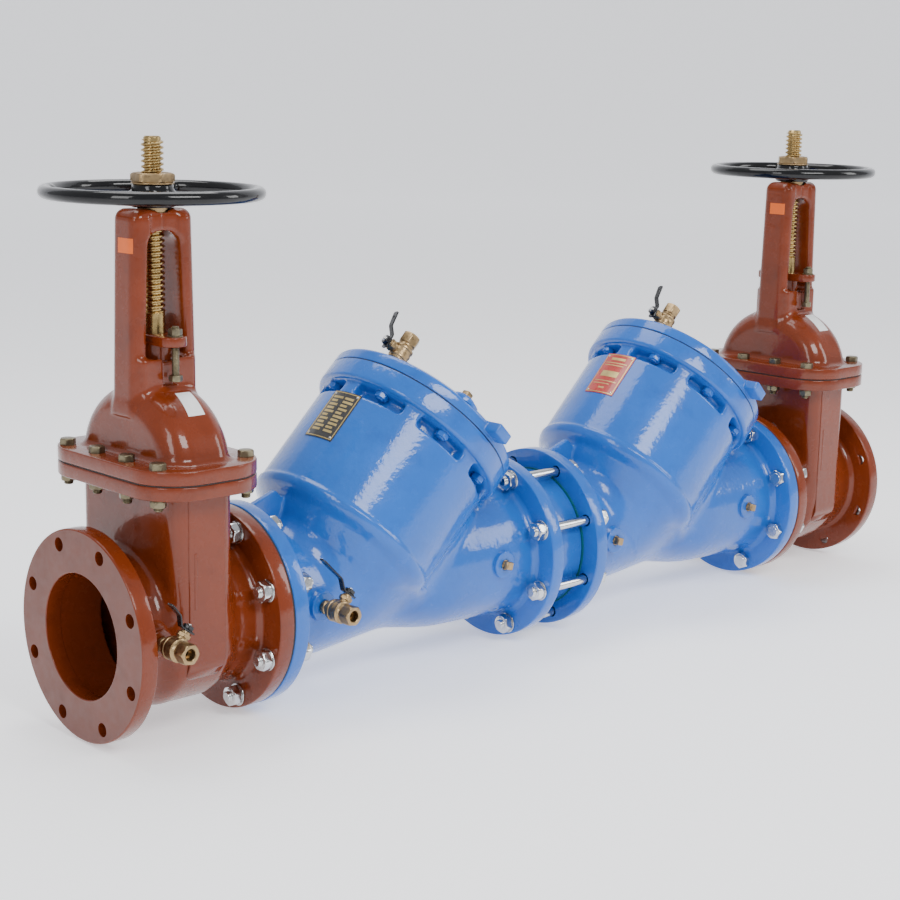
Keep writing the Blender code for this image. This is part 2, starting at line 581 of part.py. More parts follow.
# spacer between the two checks, and the gaskets of the four flanged joints
along_x = frame((0, 0, 0), (1, 0, 0))
add("spacer_ring", lathe([(BORE_R, SPACER_X), (SPACER_R, SPACER_X), (SPACER_R, SPACER_X + SPACER_LENGTH),
                          (BORE_R, SPACER_X + SPACER_LENGTH)], RUN_SIDES, along_x), "check_paint")
flange_gasket("inlet_joint_gasket", GATE_LENGTH, "rubber")
flange_gasket("spacer_inlet_gasket", SPACER_X - GASKET_T, "green_fibre", SPACER_R)
flange_gasket("spacer_outlet_gasket", SPACER_X + SPACER_LENGTH, "green_fibre", SPACER_R)
flange_gasket("outlet_joint_gasket", OUTLET_GATE_FACE_X - GASKET_T, "rubber")

ring_joint_bolts("inlet_joint_bolts", GATE_LENGTH - FLANGE_T, CHECK1_X + FLANGE_T, GATE_LENGTH + GASKET_T / 2)
ring_joint_bolts("spacer_joint_studs", SPACER_X - GASKET_T - FLANGE_T, CHECK2_X + FLANGE_T, SPACER_X - GASKET_T / 2)
ring_joint_bolts("outlet_joint_bolts", OUTLET_GATE_FACE_X - GASKET_T - FLANGE_T, OUTLET_GATE_FACE_X + FLANGE_T,
                 OUTLET_GATE_FACE_X - GASKET_T / 2)

# side plugs, cover plug and the four test cocks
square_plug("check1_outlet_plug", (CHECK1_X + 522.0, -128.4, 3.0), (0, -1, 0))
square_plug("check2_inlet_plug", (CHECK2_X + 101.0, -128.4, 0.0), (0, -1, 0))
square_plug("check2_outlet_plug", (CHECK2_X + 518.0, -128.4, 5.0), (0, -1, 0))


def on_cover(x0, t, y, h):
    return Vector((x0 + COVER_X, 0, COVER_Z)) + SLOPE * t + Vector((0, y, 0)) + TILT * h


lean1 = frame((CHECK1_X + COVER_X, 0, COVER_Z), TILT, SLOPE)
square_plug("check1_cover_plug", lean1 @ Vector((-58, -140, 38.4)), TILT, SLOPE)
leant = math.radians(38)
test_cock("gate_cock", (62.0, -131.4, 8.0), (0, -1, 0), (math.sin(leant), 0, math.cos(leant)), (-1, 0, 0), 50)
test_cock("check1_side_cock", (CHECK1_X + 94.0, -128.4, 5.0), (0, -1, 0), (math.sin(leant), 0, math.cos(leant)), (-1, 0, 0))
for number, x0 in ((1, CHECK1_X), (2, CHECK2_X)):
    lean = frame((x0 + COVER_X, 0, COVER_Z), TILT, SLOPE)
    test_cock("check%d_top_cock" % number, lean @ Vector((-118, 3, 31.4)), TILT,
              -0.966 * SLOPE + Vector((0, 0.26, 0)), TILT, 50)


def to_metres():
    for obj in bpy.data.objects:
        obj.data.transform(Matrix.Scale(MM, 4))
        obj.location = obj.location * MM


to_metres()
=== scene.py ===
"""Looks of a flanged double check valve backflow preventer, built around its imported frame.

Castings are signed distance fields in numpy (fillets are rounded unions), meshed with
surface nets and settled onto the exact surface.  Turned, drilled and bolted pieces are
modelled directly.  Lengths here are millimetres until a mesh is made.
"""
import json
import math

import bmesh
import bpy
import numpy as np
from mathutils import Matrix, Vector


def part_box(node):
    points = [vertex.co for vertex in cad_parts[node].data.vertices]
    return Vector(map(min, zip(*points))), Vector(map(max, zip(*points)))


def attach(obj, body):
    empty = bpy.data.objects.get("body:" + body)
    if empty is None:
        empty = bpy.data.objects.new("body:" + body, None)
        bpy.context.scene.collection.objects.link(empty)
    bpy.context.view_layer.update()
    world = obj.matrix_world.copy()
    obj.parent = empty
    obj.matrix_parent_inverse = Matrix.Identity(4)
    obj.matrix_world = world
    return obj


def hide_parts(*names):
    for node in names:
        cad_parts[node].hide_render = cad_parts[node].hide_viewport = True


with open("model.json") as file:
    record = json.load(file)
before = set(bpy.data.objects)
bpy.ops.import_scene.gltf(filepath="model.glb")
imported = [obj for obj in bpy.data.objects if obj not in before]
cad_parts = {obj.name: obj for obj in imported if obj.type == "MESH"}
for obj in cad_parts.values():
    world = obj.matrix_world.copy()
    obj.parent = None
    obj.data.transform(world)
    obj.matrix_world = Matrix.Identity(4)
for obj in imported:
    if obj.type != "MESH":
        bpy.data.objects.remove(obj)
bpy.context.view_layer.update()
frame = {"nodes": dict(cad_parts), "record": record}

MM = 0.001
A = math.sqrt(0.5)


def low_mm(node):
    return np.array(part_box(node)[0]) / MM


def high_mm(node):
    return np.array(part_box(node)[1]) / MM


GATES = {g: float((low_mm(g + "_yoke_nut")[0] + high_mm(g + "_yoke_nut")[0]) / 2) for g in ("inlet_gate", "outlet_gate")}
CHECKS = {c: float(low_mm(c + "_body")[0]) for c in ("check1", "check2")}
CHECK_LEN = float(high_mm("check1_body")[0] - CHECKS["check1"])
HALF = float(GATES["inlet_gate"] - low_mm("inlet_gate_body")[0])
SPACER = (float(low_mm("spacer_ring")[0]), float(high_mm("spacer_ring")[0]))
FLANGE_R, FLANGE_T, BOLT_R, BORE = 171.45, 28.6, 149.225, 101.6
WHEEL_Z = 687.0


# ------------------------------------------------------------------ places
def place(origin, z_axis, x_hint=(1, 0, 0)):
    z = np.array(z_axis, float); z /= np.linalg.norm(z)
    x = np.array(x_hint, float); x -= z * x.dot(z)
    if np.linalg.norm(x) < 1e-6:
        x = np.array((0, 1.0, 0)) if abs(z[1]) < 0.9 else np.array((0, 0, 1.0)); x -= z * x.dot(z)
    x /= np.linalg.norm(x)
    m = np.eye(4); m[:3, 0] = x; m[:3, 1] = np.cross(z, x); m[:3, 2] = z; m[:3, 3] = origin
    return m


def moved(m, x=0.0, y=0.0, z=0.0):
    out = m.copy(); out[:3, 3] = m[:3, :3] @ np.array((x, y, z)) + m[:3, 3]
    return out


def put(v, m):
    return np.asarray(v, float) @ m[:3, :3].T + m[:3, 3]


TILT, SLOPE = np.array((A, 0, A)), np.array((A, 0, -A))
LEAN0 = place((411.0, 0, 257.0), TILT, SLOPE)      # cover frame of a check valve whose inlet face is at x = 0
UP = place((0, 0, 0), (0, 0, 1))
ALONG = place((0, 0, 0), (1, 0, 0), (0, 0, 1))


# ------------------------------------------------------------------ mesh parts: (vertices, faces)
def outward(v, f):
    """The faces turned so that the shell's volume is positive."""
    total = 0.0
    c = v.mean(0)
    for q in f:
        a = v[q[0]] - c
        for i in range(1, len(q) - 1):
            total += a.dot(np.cross(v[q[i]] - c, v[q[i + 1]] - c))
    return (v, f) if total >= 0 else (v, [tuple(reversed(q)) for q in f])


def softened(points, radii, closed=False, steps=4):
    """A polyline with its corners rounded to these radii."""
    points = [np.array(p, float) for p in points]
    if isinstance(radii, (int, float)):
        radii = [radii] * len(points)
    out = []
    n = len(points)
    for i, p in enumerate(points):
        r = radii[i]
        if r <= 0 or (not closed and i in (0, n - 1)):
            out.append(p); continue
        a, b = points[i - 1] - p, points[(i + 1) % n] - p
        la, lb = np.linalg.norm(a), np.linalg.norm(b)
        a, b = a / la, b / lb
        angle = math.acos(max(-1, min(1, a.dot(b))))
        if angle > math.pi - 0.05:
            out.append(p); continue
        cut = min(r / math.tan(angle / 2), la * 0.48, lb * 0.48)
        r = cut * math.tan(angle / 2)
        bis = (a + b) / np.linalg.norm(a + b)
        c = p + bis * (r / math.sin(angle / 2))
        s, e = p + a * cut - c, p + b * cut - c
        for k in range(steps + 1):
            t = k / steps
            d = s * (1 - t) + e * t
            out.append(c + d / np.linalg.norm(d) * r)
    return out


def lathe(profile, m, sides=72, closed=False):
    profile = [tuple(map(float, p)) for p in profile]
    ang = np.arange(sides) * 2 * math.pi / sides
    ca, sa = np.cos(ang), np.sin(ang)
    v, rings = [], []
    count = 0
    for r, h in profile:
        if r < 1e-6:
            v.append(np.array([[0, 0, h]])); rings.append((count, 1)); count += 1
        else:
            v.append(np.stack([r * ca, r * sa, np.full(sides, h)], 1)); rings.append((count, sides)); count += sides
    f = []
    pairs = list(zip(rings, rings[1:])) + ([(rings[-1], rings[0])] if closed else [])
    for (a, na), (b, nb) in pairs:
        for j in range(sides):
            k = (j + 1) % sides
            if na == 1 and nb == 1:
                continue
            if na == 1:
                f.append((a, b + k, b + j))
            elif nb == 1:
                f.append((a + j, a + k, b))
            else:
                f.append((a + j, a + k, b + k, b + j))
    return outward(put(np.concatenate(v), m), f)


def stack(sections, m=UP, caps=True, ring=False):
    """Sections of equal point counts, skinned."""
    n = len(sections[0])
    v = np.concatenate([np.asarray(s, float) for s in sections])
    f = []
    pairs = [(i, i + 1) for i in range(len(sections) - 1)] + ([(len(sections) - 1, 0)] if ring else [])
    for a, b in pairs:
        for j in range(n):
            k = (j + 1) % n
            f.append((a * n + j, a * n + k, b * n + k, b * n + j))
    if caps and not ring:
        f.append(tuple(reversed(range(n))))
        f.append(tuple(range((len(sections) - 1) * n, len(sections) * n)))
    return outward(put(v, m), f)


def rounded(hx, hy, r, z, per=8):
    out = []
    for cx, cy, start in ((hx - r, hy - r, 0), (-hx + r, hy - r, 90), (-hx + r, -hy + r, 180), (hx - r, -hy + r, 270)):
        for k in range(per + 1):
            a = math.radians(start + 90 * k / per)
            out.append((cx + r * math.cos(a), cy + r * math.sin(a), z))
    return out


def slab(hx, hy, r, z0, z1, m=UP, bevel=2.0, per=8):
    """Rounded plate with rolled edges."""
    sections = []
    for z, s in ((z0, 1), (z1, -1)):
        row = []
        for k in range(4):
            a = math.pi / 2 * k / 3
            inset = bevel * (1 - math.sin(a)); dz = bevel * (1 - math.cos(a))
            row.append(rounded(hx - inset, hy - inset, max(r - inset, 0.2), z + s * dz, per))
        sections += row if s == 1 else list(reversed(row))
    return stack(sections, m)


def plate_ring(outer, inner, z0, z1, m=UP, bevel=2.2, per=12):
    """Rounded plate with a rounded opening: outer and inner are (half x, half y, radius)."""
    def loop(spec, inset, z):
        return rounded(spec[0] - inset, spec[1] - inset, max(spec[2] - inset, 0.2), z, per)
    rows = [loop(inner, 0, z0)]
    for z, s in ((z0, 1), (z1, -1)):
        part = []
        for k in range(4):
            a = math.pi / 2 * k / 3
            part.append(loop(outer, bevel * (1 - math.sin(a)), z + s * bevel * (1 - math.cos(a))))
        rows += part if s == 1 else list(reversed(part))
    rows.append(loop(inner, 0, z1))
    return stack(rows, m, ring=True)


def hexagon(radius, z0, z1, m, chamfer=2.0, both=True, bore=0.0, sides=48):
    """Hexagonal prism whose corners are chamfered by a cone, as on a nut; radius is across corners."""
    ang = np.arange(sides) * 2 * math.pi / sides
    flat = radius * math.cos(math.pi / 6)
    local = (ang + math.pi / 6) % (math.pi / 3) - math.pi / 6
    hexr = flat / np.cos(math.pi / 6 - np.abs(local))

    def row(limit, z):
        r = np.minimum(hexr, limit)
        return np.stack([r * np.cos(ang), r * np.sin(ang), np.full(sides, z)], 1)
    lo = flat * 0.985
    rows = []
    rows.append(row(lo if both else radius, z0))
    if both:
        rows.append(row(flat + (radius - flat) * 0.5, z0 + chamfer * 0.42)); rows.append(row(radius, z0 + chamfer))
    rows += [row(radius, z1 - chamfer), row(flat + (radius - flat) * 0.5, z1 - chamfer * 0.42), row(lo, z1)]
    if bore > 0:
        b = np.stack([bore * np.cos(ang), bore * np.sin(ang), np.full(sides, z1 - 1.2)], 1)
        top = np.stack([(bore + 1.2) * np.cos(ang), (bore + 1.2) * np.sin(ang), np.full(sides, z1)], 1)
        bottom = b.copy(); bottom[:, 2] = z0
        rows += [top, b, bottom]
        return stack(rows, m, ring=True)
    return stack(rows, m)


def washer(radius, bore, z0, z1, m):
    return lathe([(bore, z0), (radius - 0.6, z0), (radius, z0 + 0.6), (radius, z1 - 0.6), (radius - 0.6, z1), (bore, z1)], m, 40, closed=True)


def stud(radius, z0, z1, m, pitch=2.4, sides=24):
    """Threaded rod: a helix cut into its surface."""
    return helix(radius, radius * 0.86, pitch, z0, z1, m, sides, 5)


def helix(radius, root, pitch, z0, z1, m, sides=36, per=12, flat=0.28, lead=1.5):
    steps = max(4, int(round((z1 - z0) / pitch * per)))
    z = np.linspace(z0, z1, steps + 1)
    ang = np.arange(sides) * 2 * math.pi / sides
    phase = (z[:, None] / pitch - ang[None, :] / (2 * math.pi)) % 1.0
    d = np.abs(phase - 0.5) * 2                       # 1 at the crest's middle, 0 at the root's
    w = np.clip((d - flat) / (1 - 2 * flat), 0, 1)
    r = root + (radius - root) * w
    edge = np.clip(np.minimum(z - z0, z1 - z) / lead, 0, 1)[:, None]
    r = r * edge + (root - 0.5) * (1 - edge)
    rows = [np.stack([r[i] * np.cos(ang), r[i] * np.sin(ang), np.full(sides, z[i])], 1) for i in range(len(z))]
    return stack(rows, m)


def swept(points, sizes, m=UP, sides=8):
    """Tube through points with a radius at each."""
    points = np.array(points, float)
    rows = []
    tangent = np.gradient(points, axis=0)
    ref = np.array((0, 0, 1.0)) if abs(tangent[0][2]) < 0.9 * np.linalg.norm(tangent[0]) else np.array((1.0, 0, 0))
    for p, t, s in zip(points, tangent, sizes):
        t = t / np.linalg.norm(t)
        a = np.cross(t, ref); a /= np.linalg.norm(a); b = np.cross(t, a)
        ang = np.arange(sides) * 2 * math.pi / sides
        rows.append(p + s * (np.cos(ang)[:, None] * a + np.sin(ang)[:, None] * b))
    return stack(rows, m)


def mesh_of(v, f, name="part"):
    mesh = bpy.data.meshes.new(name)
    mesh.from_pydata(np.asarray(v, float).tolist(), [], [tuple(map(int, q)) for q in f])
    mesh.validate()
    return mesh


def bored(part, cutters, operation="DIFFERENCE"):
    """part with the cutters taken away by an exact Boolean."""
    v = np.concatenate([c[0] for c in cutters]); f = []; n = 0
    for c in cutters:
        f += [tuple(i + n for i in q) for q in c[1]]; n += len(c[0])
    a = bpy.data.objects.new("work_a", mesh_of(*part)); b = bpy.data.objects.new("work_b", mesh_of(v, f))
    for o in (a, b):
        bpy.context.scene.collection.objects.link(o)
    mod = a.modifiers.new("cut", "BOOLEAN"); mod.operation = operation; mod.object = b; mod.solver = "EXACT"
    bpy.context.view_layer.update()
    got = a.evaluated_get(bpy.context.evaluated_depsgraph_get()).to_mesh()
    out_v = np.array([p.co for p in got.vertices], float).reshape(-1, 3)
    out_f = [tuple(p.vertices) for p in got.polygons]
    for o in (a, b):
        data = o.data; bpy.data.objects.remove(o); bpy.data.meshes.remove(data)
    return out_v, out_f


# ------------------------------------------------------------------ distance fields
def ru(a, b, k):
    u, v = np.maximum(k - a, 0), np.maximum(k - b, 0)
    return np.maximum(k, np.minimum(a, b)) - np.sqrt(u * u + v * v)


def ri(a, b, k):
    return -ru(-a, -b, k)


def rcut(a, b, k):
    return -ru(-a, b, k)


def nets(field, low, high, step):
    axes = [np.arange(lo, hi + step, step, dtype=np.float32) for lo, hi in zip(low, high)]
    shape = tuple(len(a) for a in axes)
    v = np.array(np.broadcast_to(field(*np.ix_(*axes)), shape), np.float32)
    s = v < 0
    nx, ny, nz = shape
    c = np.zeros((nx - 1, ny - 1, nz - 1), np.int8)
    for i in (0, 1):
        for j in (0, 1):
            for k in (0, 1):
                c += s[i:nx - 1 + i, j:ny - 1 + j, k:nz - 1 + k]
    active = (c > 0) & (c < 8)
    cells = np.argwhere(active)
    ids = np.full(active.shape, -1, np.int64); ids[active] = np.arange(len(cells))
    total = np.zeros((len(cells), 3)); count = np.zeros(len(cells))
    ci, cj, ck = cells.T
    for axis in range(3):
        for b in (0, 1):
            for d in (0, 1):
                p0 = [0, 0, 0]; other = [x for x in range(3) if x != axis]
                p0[other[0]], p0[other[1]] = b, d
                p1 = list(p0); p1[axis] = 1
                v0 = v[ci + p0[0], cj + p0[1], ck + p0[2]]; v1 = v[ci + p1[0], cj + p1[1], ck + p1[2]]
                cross = (v0 < 0) != (v1 < 0)
                t = np.where(cross, v0 / np.where(cross, v0 - v1, 1), 0)
                pos = np.tile(np.array(p0, float), (len(cells), 1)); pos[:, axis] += t
                total[cross] += pos[cross]; count[cross] += 1
    p = np.array([a[0] for a in axes], float) + (cells + total / count[:, None]) * step
    faces = []
    for axis in range(3):
        u, w = (axis + 1) % 3, (axis + 2) % 3
        lo = [slice(None)] * 3; hi = [slice(None)] * 3
        lo[axis] = slice(0, -1); hi[axis] = slice(1, None)
        for q in (u, w):
            lo[q] = slice(1, -1); hi[q] = slice(1, -1)
        first, second = s[tuple(lo)], s[tuple(hi)]
        at = np.argwhere(first != second)
        at[:, u] += 1; at[:, w] += 1
        inside = first[first != second]
        def cell(du, dw):
            x = at.copy(); x[:, u] += du; x[:, w] += dw
            return ids[x[:, 0], x[:, 1], x[:, 2]]
        q = np.stack([cell(-1, -1), cell(0, -1), cell(0, 0), cell(-1, 0)], 1)
        q[~inside] = q[~inside][:, ::-1]
        faces.append(q)
    faces = np.concatenate(faces)
    faces = faces[(faces >= 0).all(1)]
    for _ in range(3):
        p = settle(field, p, step * 0.5)
    return p, [tuple(q) for q in faces.tolist()]


def settle(field, p, most, at=0.0):
    e = 0.2
    x, y, z = p[:, 0], p[:, 1], p[:, 2]
    d = field(x, y, z) - at
    g = np.stack([field(x + e, y, z) - field(x - e, y, z), field(x, y + e, z) - field(x, y - e, z),
                  field(x, y, z + e) - field(x, y, z - e)], 1) / (2 * e)
    n2 = np.maximum((g * g).sum(1), 0.2)
    move = -(d / n2)[:, None] * g
    size = np.linalg.norm(move, axis=1)
    return p + move * np.minimum(1, most / np.maximum(size, 1e-9))[:, None]


# ------------------------------------------------------------------ materials
def material(name, color, metallic=0.0, rough=(0.25, 0.4), vary=0.12, vary_scale=14.0, bumps=(), coat=0.0, coat_rough=0.05,
             second=None, second_amount=0.0, second_scale=8.0, spec=0.5, aniso=0.0):
    """Principled surface whose colour and roughness wander, with bumps as (scale, strength, distance in mm)."""
    mat = bpy.data.materials.new(name); mat.use_nodes = True
    nodes, links = mat.node_tree.nodes, mat.node_tree.links
    bsdf = nodes["Principled BSDF"]
    bsdf.inputs["Metallic"].default_value = metallic
    bsdf.inputs["Specular IOR Level"].default_value = spec
    if coat:
        bsdf.inputs["Coat Weight"].default_value = coat
        bsdf.inputs["Coat Roughness"].default_value = coat_rough
    if aniso:
        bsdf.inputs["Anisotropic"].default_value = aniso
    where = nodes.new("ShaderNodeTexCoord").outputs["Object"]

    def noise(scale, detail=3.0, roughness=0.55):
        n = nodes.new("ShaderNodeTexNoise"); n.inputs["Scale"].default_value = scale
        n.inputs["Detail"].default_value = detail; n.inputs["Roughness"].default_value = roughness
        links.new(where, n.inputs["Vector"])
        return n.outputs["Fac"]

    def ramp(fac, stops):
        r = nodes.new("ShaderNodeValToRGB")
        while len(r.color_ramp.elements) < len(stops):
            r.color_ramp.elements.new(0.5)
        for e, (pos, col) in zip(r.color_ramp.elements, stops):
            e.position = pos; e.color = (*col, 1)
        links.new(fac, r.inputs["Fac"])
        return r.outputs["Color"]

    dark = tuple(c * (1 - vary) for c in color); light = tuple(min(1, c * (1 + vary)) for c in color)
    tone = ramp(noise(vary_scale, 4), [(0.3, dark), (0.7, light)])
    if second is not None:
        mix = nodes.new("ShaderNodeMix"); mix.data_type = "RGBA"
        mask = ramp(noise(second_scale, 6, 0.65), [(0.55, (0, 0, 0)), (0.72, (second_amount,) * 3)])
        links.new(mask, mix.inputs[0]); links.new(tone, mix.inputs[6]); mix.inputs[7].default_value = (*second, 1)
        tone = mix.outputs[2]
    links.new(tone, bsdf.inputs["Base Color"])
    r = nodes.new("ShaderNodeMapRange")
    r.inputs["From Min"].default_value, r.inputs["From Max"].default_value = 0.3, 0.7
    r.inputs["To Min"].default_value, r.inputs["To Max"].default_value = rough
    links.new(noise(vary_scale * 4, 5), r.inputs["Value"]); links.new(r.outputs[0], bsdf.inputs["Roughness"])
    last = None
    for scale, strength, distance in bumps:
        b = nodes.new("ShaderNodeBump"); b.inputs["Strength"].default_value = strength; b.inputs["Distance"].default_value = distance * MM
        links.new(noise(scale, 2.0), b.inputs["Height"])
        if last is not None:
            links.new(last, b.inputs["Normal"])
        last = b.outputs["Normal"]
    if last is not None:
        links.new(last, bsdf.inputs["Normal"])
        if coat:
            links.new(last, bsdf.inputs["Coat Normal"])
    return mat


RED = material("gate_red_enamel", (0.155, 0.0245, 0.005), rough=(0.2, 0.32), vary=0.10, vary_scale=9, coat=0.55, coat_rough=0.05, spec=0.15,
               bumps=((38, 0.4, 1.4), (170, 0.35, 0.4)), second=(0.085, 0.014, 0.004), second_amount=0.5, second_scale=16)
BLUE = material("check_blue_epoxy", (0.014, 0.118, 0.47), rough=(0.18, 0.3), vary=0.08, vary_scale=8, coat=0.65, coat_rough=0.045, spec=0.15,
                bumps=((34, 0.45, 1.6), (130, 0.55, 0.6)), second=(0.008, 0.075, 0.34), second_amount=0.5, second_scale=14)
BLACK = material("wheel_black_enamel", (0.0035, 0.0035, 0.004), rough=(0.12, 0.24), vary=0.25, vary_scale=20, coat=0.6, coat_rough=0.05, spec=0.1,
                 bumps=((60, 0.25, 0.6), (220, 0.2, 0.2)))
BRASS = material("stem_brass", (0.44, 0.31, 0.13), metallic=1.0, rough=(0.18, 0.34), vary=0.2, vary_scale=30,
                 bumps=((500, 0.2, 0.06),), second=(0.16, 0.11, 0.05), second_amount=0.7, second_scale=40)
BRONZE = material("cast_bronze", (0.34, 0.235, 0.12), metallic=0.95, rough=(0.26, 0.44), vary=0.22, vary_scale=45,
                  bumps=((260, 0.4, 0.2),), second=(0.12, 0.08, 0.045), second_amount=0.7, second_scale=70)
ZINC = material("bright_zinc", (0.62, 0.63, 0.63), metallic=1.0, rough=(0.14, 0.26), vary=0.1, vary_scale=40,
                bumps=((300, 0.12, 0.05),), second=(0.36, 0.36, 0.37), second_amount=0.4, second_scale=45)
YELLOW = material("yellow_zinc", (0.19, 0.16, 0.10), metallic=0.9, rough=(0.28, 0.42), vary=0.25, vary_scale=50,
                  bumps=((420, 0.2, 0.06),), second=(0.07, 0.055, 0.04), second_amount=0.7, second_scale=60)
STEEL = material("drawn_stainless", (0.62, 0.62, 0.6), metallic=1.0, rough=(0.18, 0.3), vary=0.06, vary_scale=60, bumps=((600, 0.15, 0.04),))
LEVER = material("black_lever", (0.02, 0.02, 0.022), metallic=0.6, rough=(0.2, 0.34), vary=0.2, vary_scale=60, coat=0.3, coat_rough=0.12,
                 bumps=((300, 0.2, 0.08),))
RUBBER = material("black_rubber", (0.018, 0.018, 0.019), rough=(0.5, 0.7), vary=0.2, vary_scale=40, bumps=((300, 0.3, 0.1),), spec=0.35)
FIBRE = material("green_fibre", (0.006, 0.10, 0.12), rough=(0.45, 0.6), vary=0.15, vary_scale=60, bumps=((700, 0.3, 0.08),))
FACE = material("primed_face", (0.145, 0.048, 0.033), rough=(0.42, 0.58), vary=0.1, vary_scale=18, bumps=((120, 0.15, 0.15), (900, 0.2, 0.04)),
                second=(0.10, 0.032, 0.022), second_amount=0.5, second_scale=30)
ORANGE = material("orange_label", (0.74, 0.125, 0.008), rough=(0.3, 0.4), vary=0.04, vary_scale=60, bumps=((90, 0.1, 0.1),))
WHITE = material("white_label", (0.78, 0.80, 0.79), rough=(0.3, 0.4), vary=0.03, vary_scale=60, bumps=((90, 0.1, 0.1),))
INK = material("plate_black", (0.02, 0.019, 0.018), rough=(0.25, 0.35), vary=0.15, vary_scale=60, coat=0.5)
GOLD = material("plate_gold", (0.62, 0.47, 0.2), metallic=0.9, rough=(0.28, 0.4), vary=0.15, vary_scale=60)
PLATE_RED = material("plate_red", (0.42, 0.03, 0.02), rough=(0.25, 0.35), vary=0.1, vary_scale=50, coat=0.5)


# ------------------------------------------------------------------ pieces
class Piece:
    def __init__(self, name):
        self.name = name; self.crisp = []; self.soft = []; self.mats = []

    def add(self, part, mat, soft=False):
        if mat not in self.mats:
            self.mats.append(mat)
        (self.soft if soft else self.crisp).append((part, self.mats.index(mat)))
        return self

    def mesh(self, angle=40):
        bm = bmesh.new()
        for group, crisp in ((self.crisp, True), (self.soft, False)):
            if not group:
                continue
            v = np.concatenate([p[0] for p, _ in group]) * MM
            f, mi, n = [], [], 0
            for (pv, pf), k in group:
                f += [tuple(i + n for i in q) for q in pf]; mi += [k] * len(pf); n += len(pv)
            mesh = bpy.data.meshes.new("tmp")
            mesh.from_pydata(v.tolist(), [], f)
            mesh.polygons.foreach_set("material_index", mi)
            mesh.polygons.foreach_set("use_smooth", [True] * len(mesh.polygons))
            if crisp:
                mesh.set_sharp_from_angle(angle=math.radians(angle))
            bm.from_mesh(mesh); bpy.data.meshes.remove(mesh)
        mesh = bpy.data.meshes.new(self.name)
        bm.to_mesh(mesh); bm.free()
        for m in self.mats:
            mesh.materials.append(m)
        return mesh

    def make(self, body, slot, replaces=(), mesh=None, shift=0.0, name=None):
        obj = bpy.data.objects.new(name or self.name, mesh or self.mesh())
        bpy.context.scene.collection.objects.link(obj)
        obj.location = (shift * MM, 0, 0)
        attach(obj, body)
        if replaces:
            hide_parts(*replaces)
        return obj


def ring_places(x, count=8, radius=BOLT_R, axis=(1, 0, 0)):
    out = []
    for k in range(count):
        a = math.pi / count + 2 * math.pi * k / count
        out.append(place((x, radius * math.sin(a), radius * math.cos(a)), axis, (0, math.sin(a), math.cos(a))))
    return out


def flange(x0, x1, face_mat=None, face_at=None, holes=False, bore=BORE - 0.3, piece=None, mat=None):
    """Flange disc between x0 and x1 with rolled rim edges."""
    profile = softened([(bore, x0), (FLANGE_R, x0), (FLANGE_R, x1), (bore, x1)], [1.5, 2.6, 2.6, 1.5], closed=True, steps=3)
    part = lathe(profile, ALONG, 144, closed=True)
    if holes:
        part = bored(part, [lathe([(0, -10), (11.4, -10), (11.4, FLANGE_T + 10), (0, FLANGE_T + 10)], p, 32) for p in ring_places(x0)])
    if face_at is None:
        piece.add(part, mat)
        return
    v, f = part
    flat, rest = [], []
    for q in f:
        on = all(abs(v[i][0] - face_at) < 0.02 for i in q)
        (flat if on else rest).append(q)
    piece.add((v, rest), mat)
    piece.add((v, flat), face_mat)


# ---------------------------------------------------------------- gate valve body
def box_distance(x, y, hx, hy, r):
    qx, qy = np.abs(x) - hx + r, np.abs(y) - hy + r
    return np.sqrt(np.maximum(qx, 0) ** 2 + np.maximum(qy, 0) ** 2) + np.minimum(np.maximum(qx, qy), 0) - r


def gate_body_field(x, y, z):
    ax, ay = np.abs(x), np.abs(y)
    zz = np.minimum(z - 14, 0)
    prof = ri(ay - 134.5, np.sqrt(y * y + zz * zz) - 144.5, 12)
    col = ri(prof, ax - 58, 26)
    rr = np.sqrt(y * y + z * z)
    neck = rr - 120
    solid = ru(neck, col, 20)
    rim = np.maximum(np.maximum(117.9 - ax, ax - 131), rr - 150)
    solid = np.maximum(solid, ax - 131)
    solid = ru(solid, rim, 13)
    top = np.maximum(np.maximum(234.5 - z, z - 250), box_distance(x, y, 100, 166, 74))
    solid = np.maximum(solid, z - 250)
    solid = ru(solid, top, 10)
    inner = ri(ri(ay - 121, np.sqrt(y * y + zz * zz) - 131, 10), ax - 40, 12)
    return rcut(solid, np.minimum(rr - 101.9, inner), 2.5)


def gate_body_piece():
    piece = Piece("gate_body_casting")
    piece.add(nets(gate_body_field, (-134, -153, -153), (134, 153, 254), 3.1), RED, soft=True)
    flange(-HALF, -HALF + FLANGE_T, FACE, -HALF, True, piece=piece, mat=RED)
    flange(HALF - FLANGE_T, HALF, FACE, HALF, True, piece=piece, mat=RED)
    plate = plate_ring((108, 174, 80), (44, 122, 32), 234, 256)
    piece.add(plate, RED)
    # raised parting band round the column's two narrow ends and its keel
    for side in (-1, 1):
        rows = []
        for z in [233.0, 180.0, 120.0, 60.0, 30.0, 10.0] + [-8.0 - 4.5 * k for k in range(14)]:
            y = 134.5
            if z < 12:
                y = min(134.5, math.sqrt(144.5 ** 2 - (z - 14) ** 2))
            low = max(0.0, min(1.0, (z + 68.0) / 16.0))
            w = 34.5 - 14.0 * (1 - math.sqrt(max(0.0, 1 - (1 - low) ** 2)))
            lift = 1.5 * min(1.0, (z + 69.0) / 3.0)
            rows.append([(-w, side * (y - 6), z), (-w, side * (y + 0.2 * lift), z), (-w + 1.2, side * (y + lift), z),
                         (w - 1.2, side * (y + lift), z), (w, side * (y + 0.2 * lift), z), (w, side * (y - 6), z)])
        piece.add(stack(rows), RED)
        # upright ribs cast on the column's face
        piece.add(slab(3.2, 46, 3, -3, 2.4, place((-22.0, side * 134.4, 96.0), (0, side, 0), (1, 0, 0)), bevel=1.4), RED)
    return piece


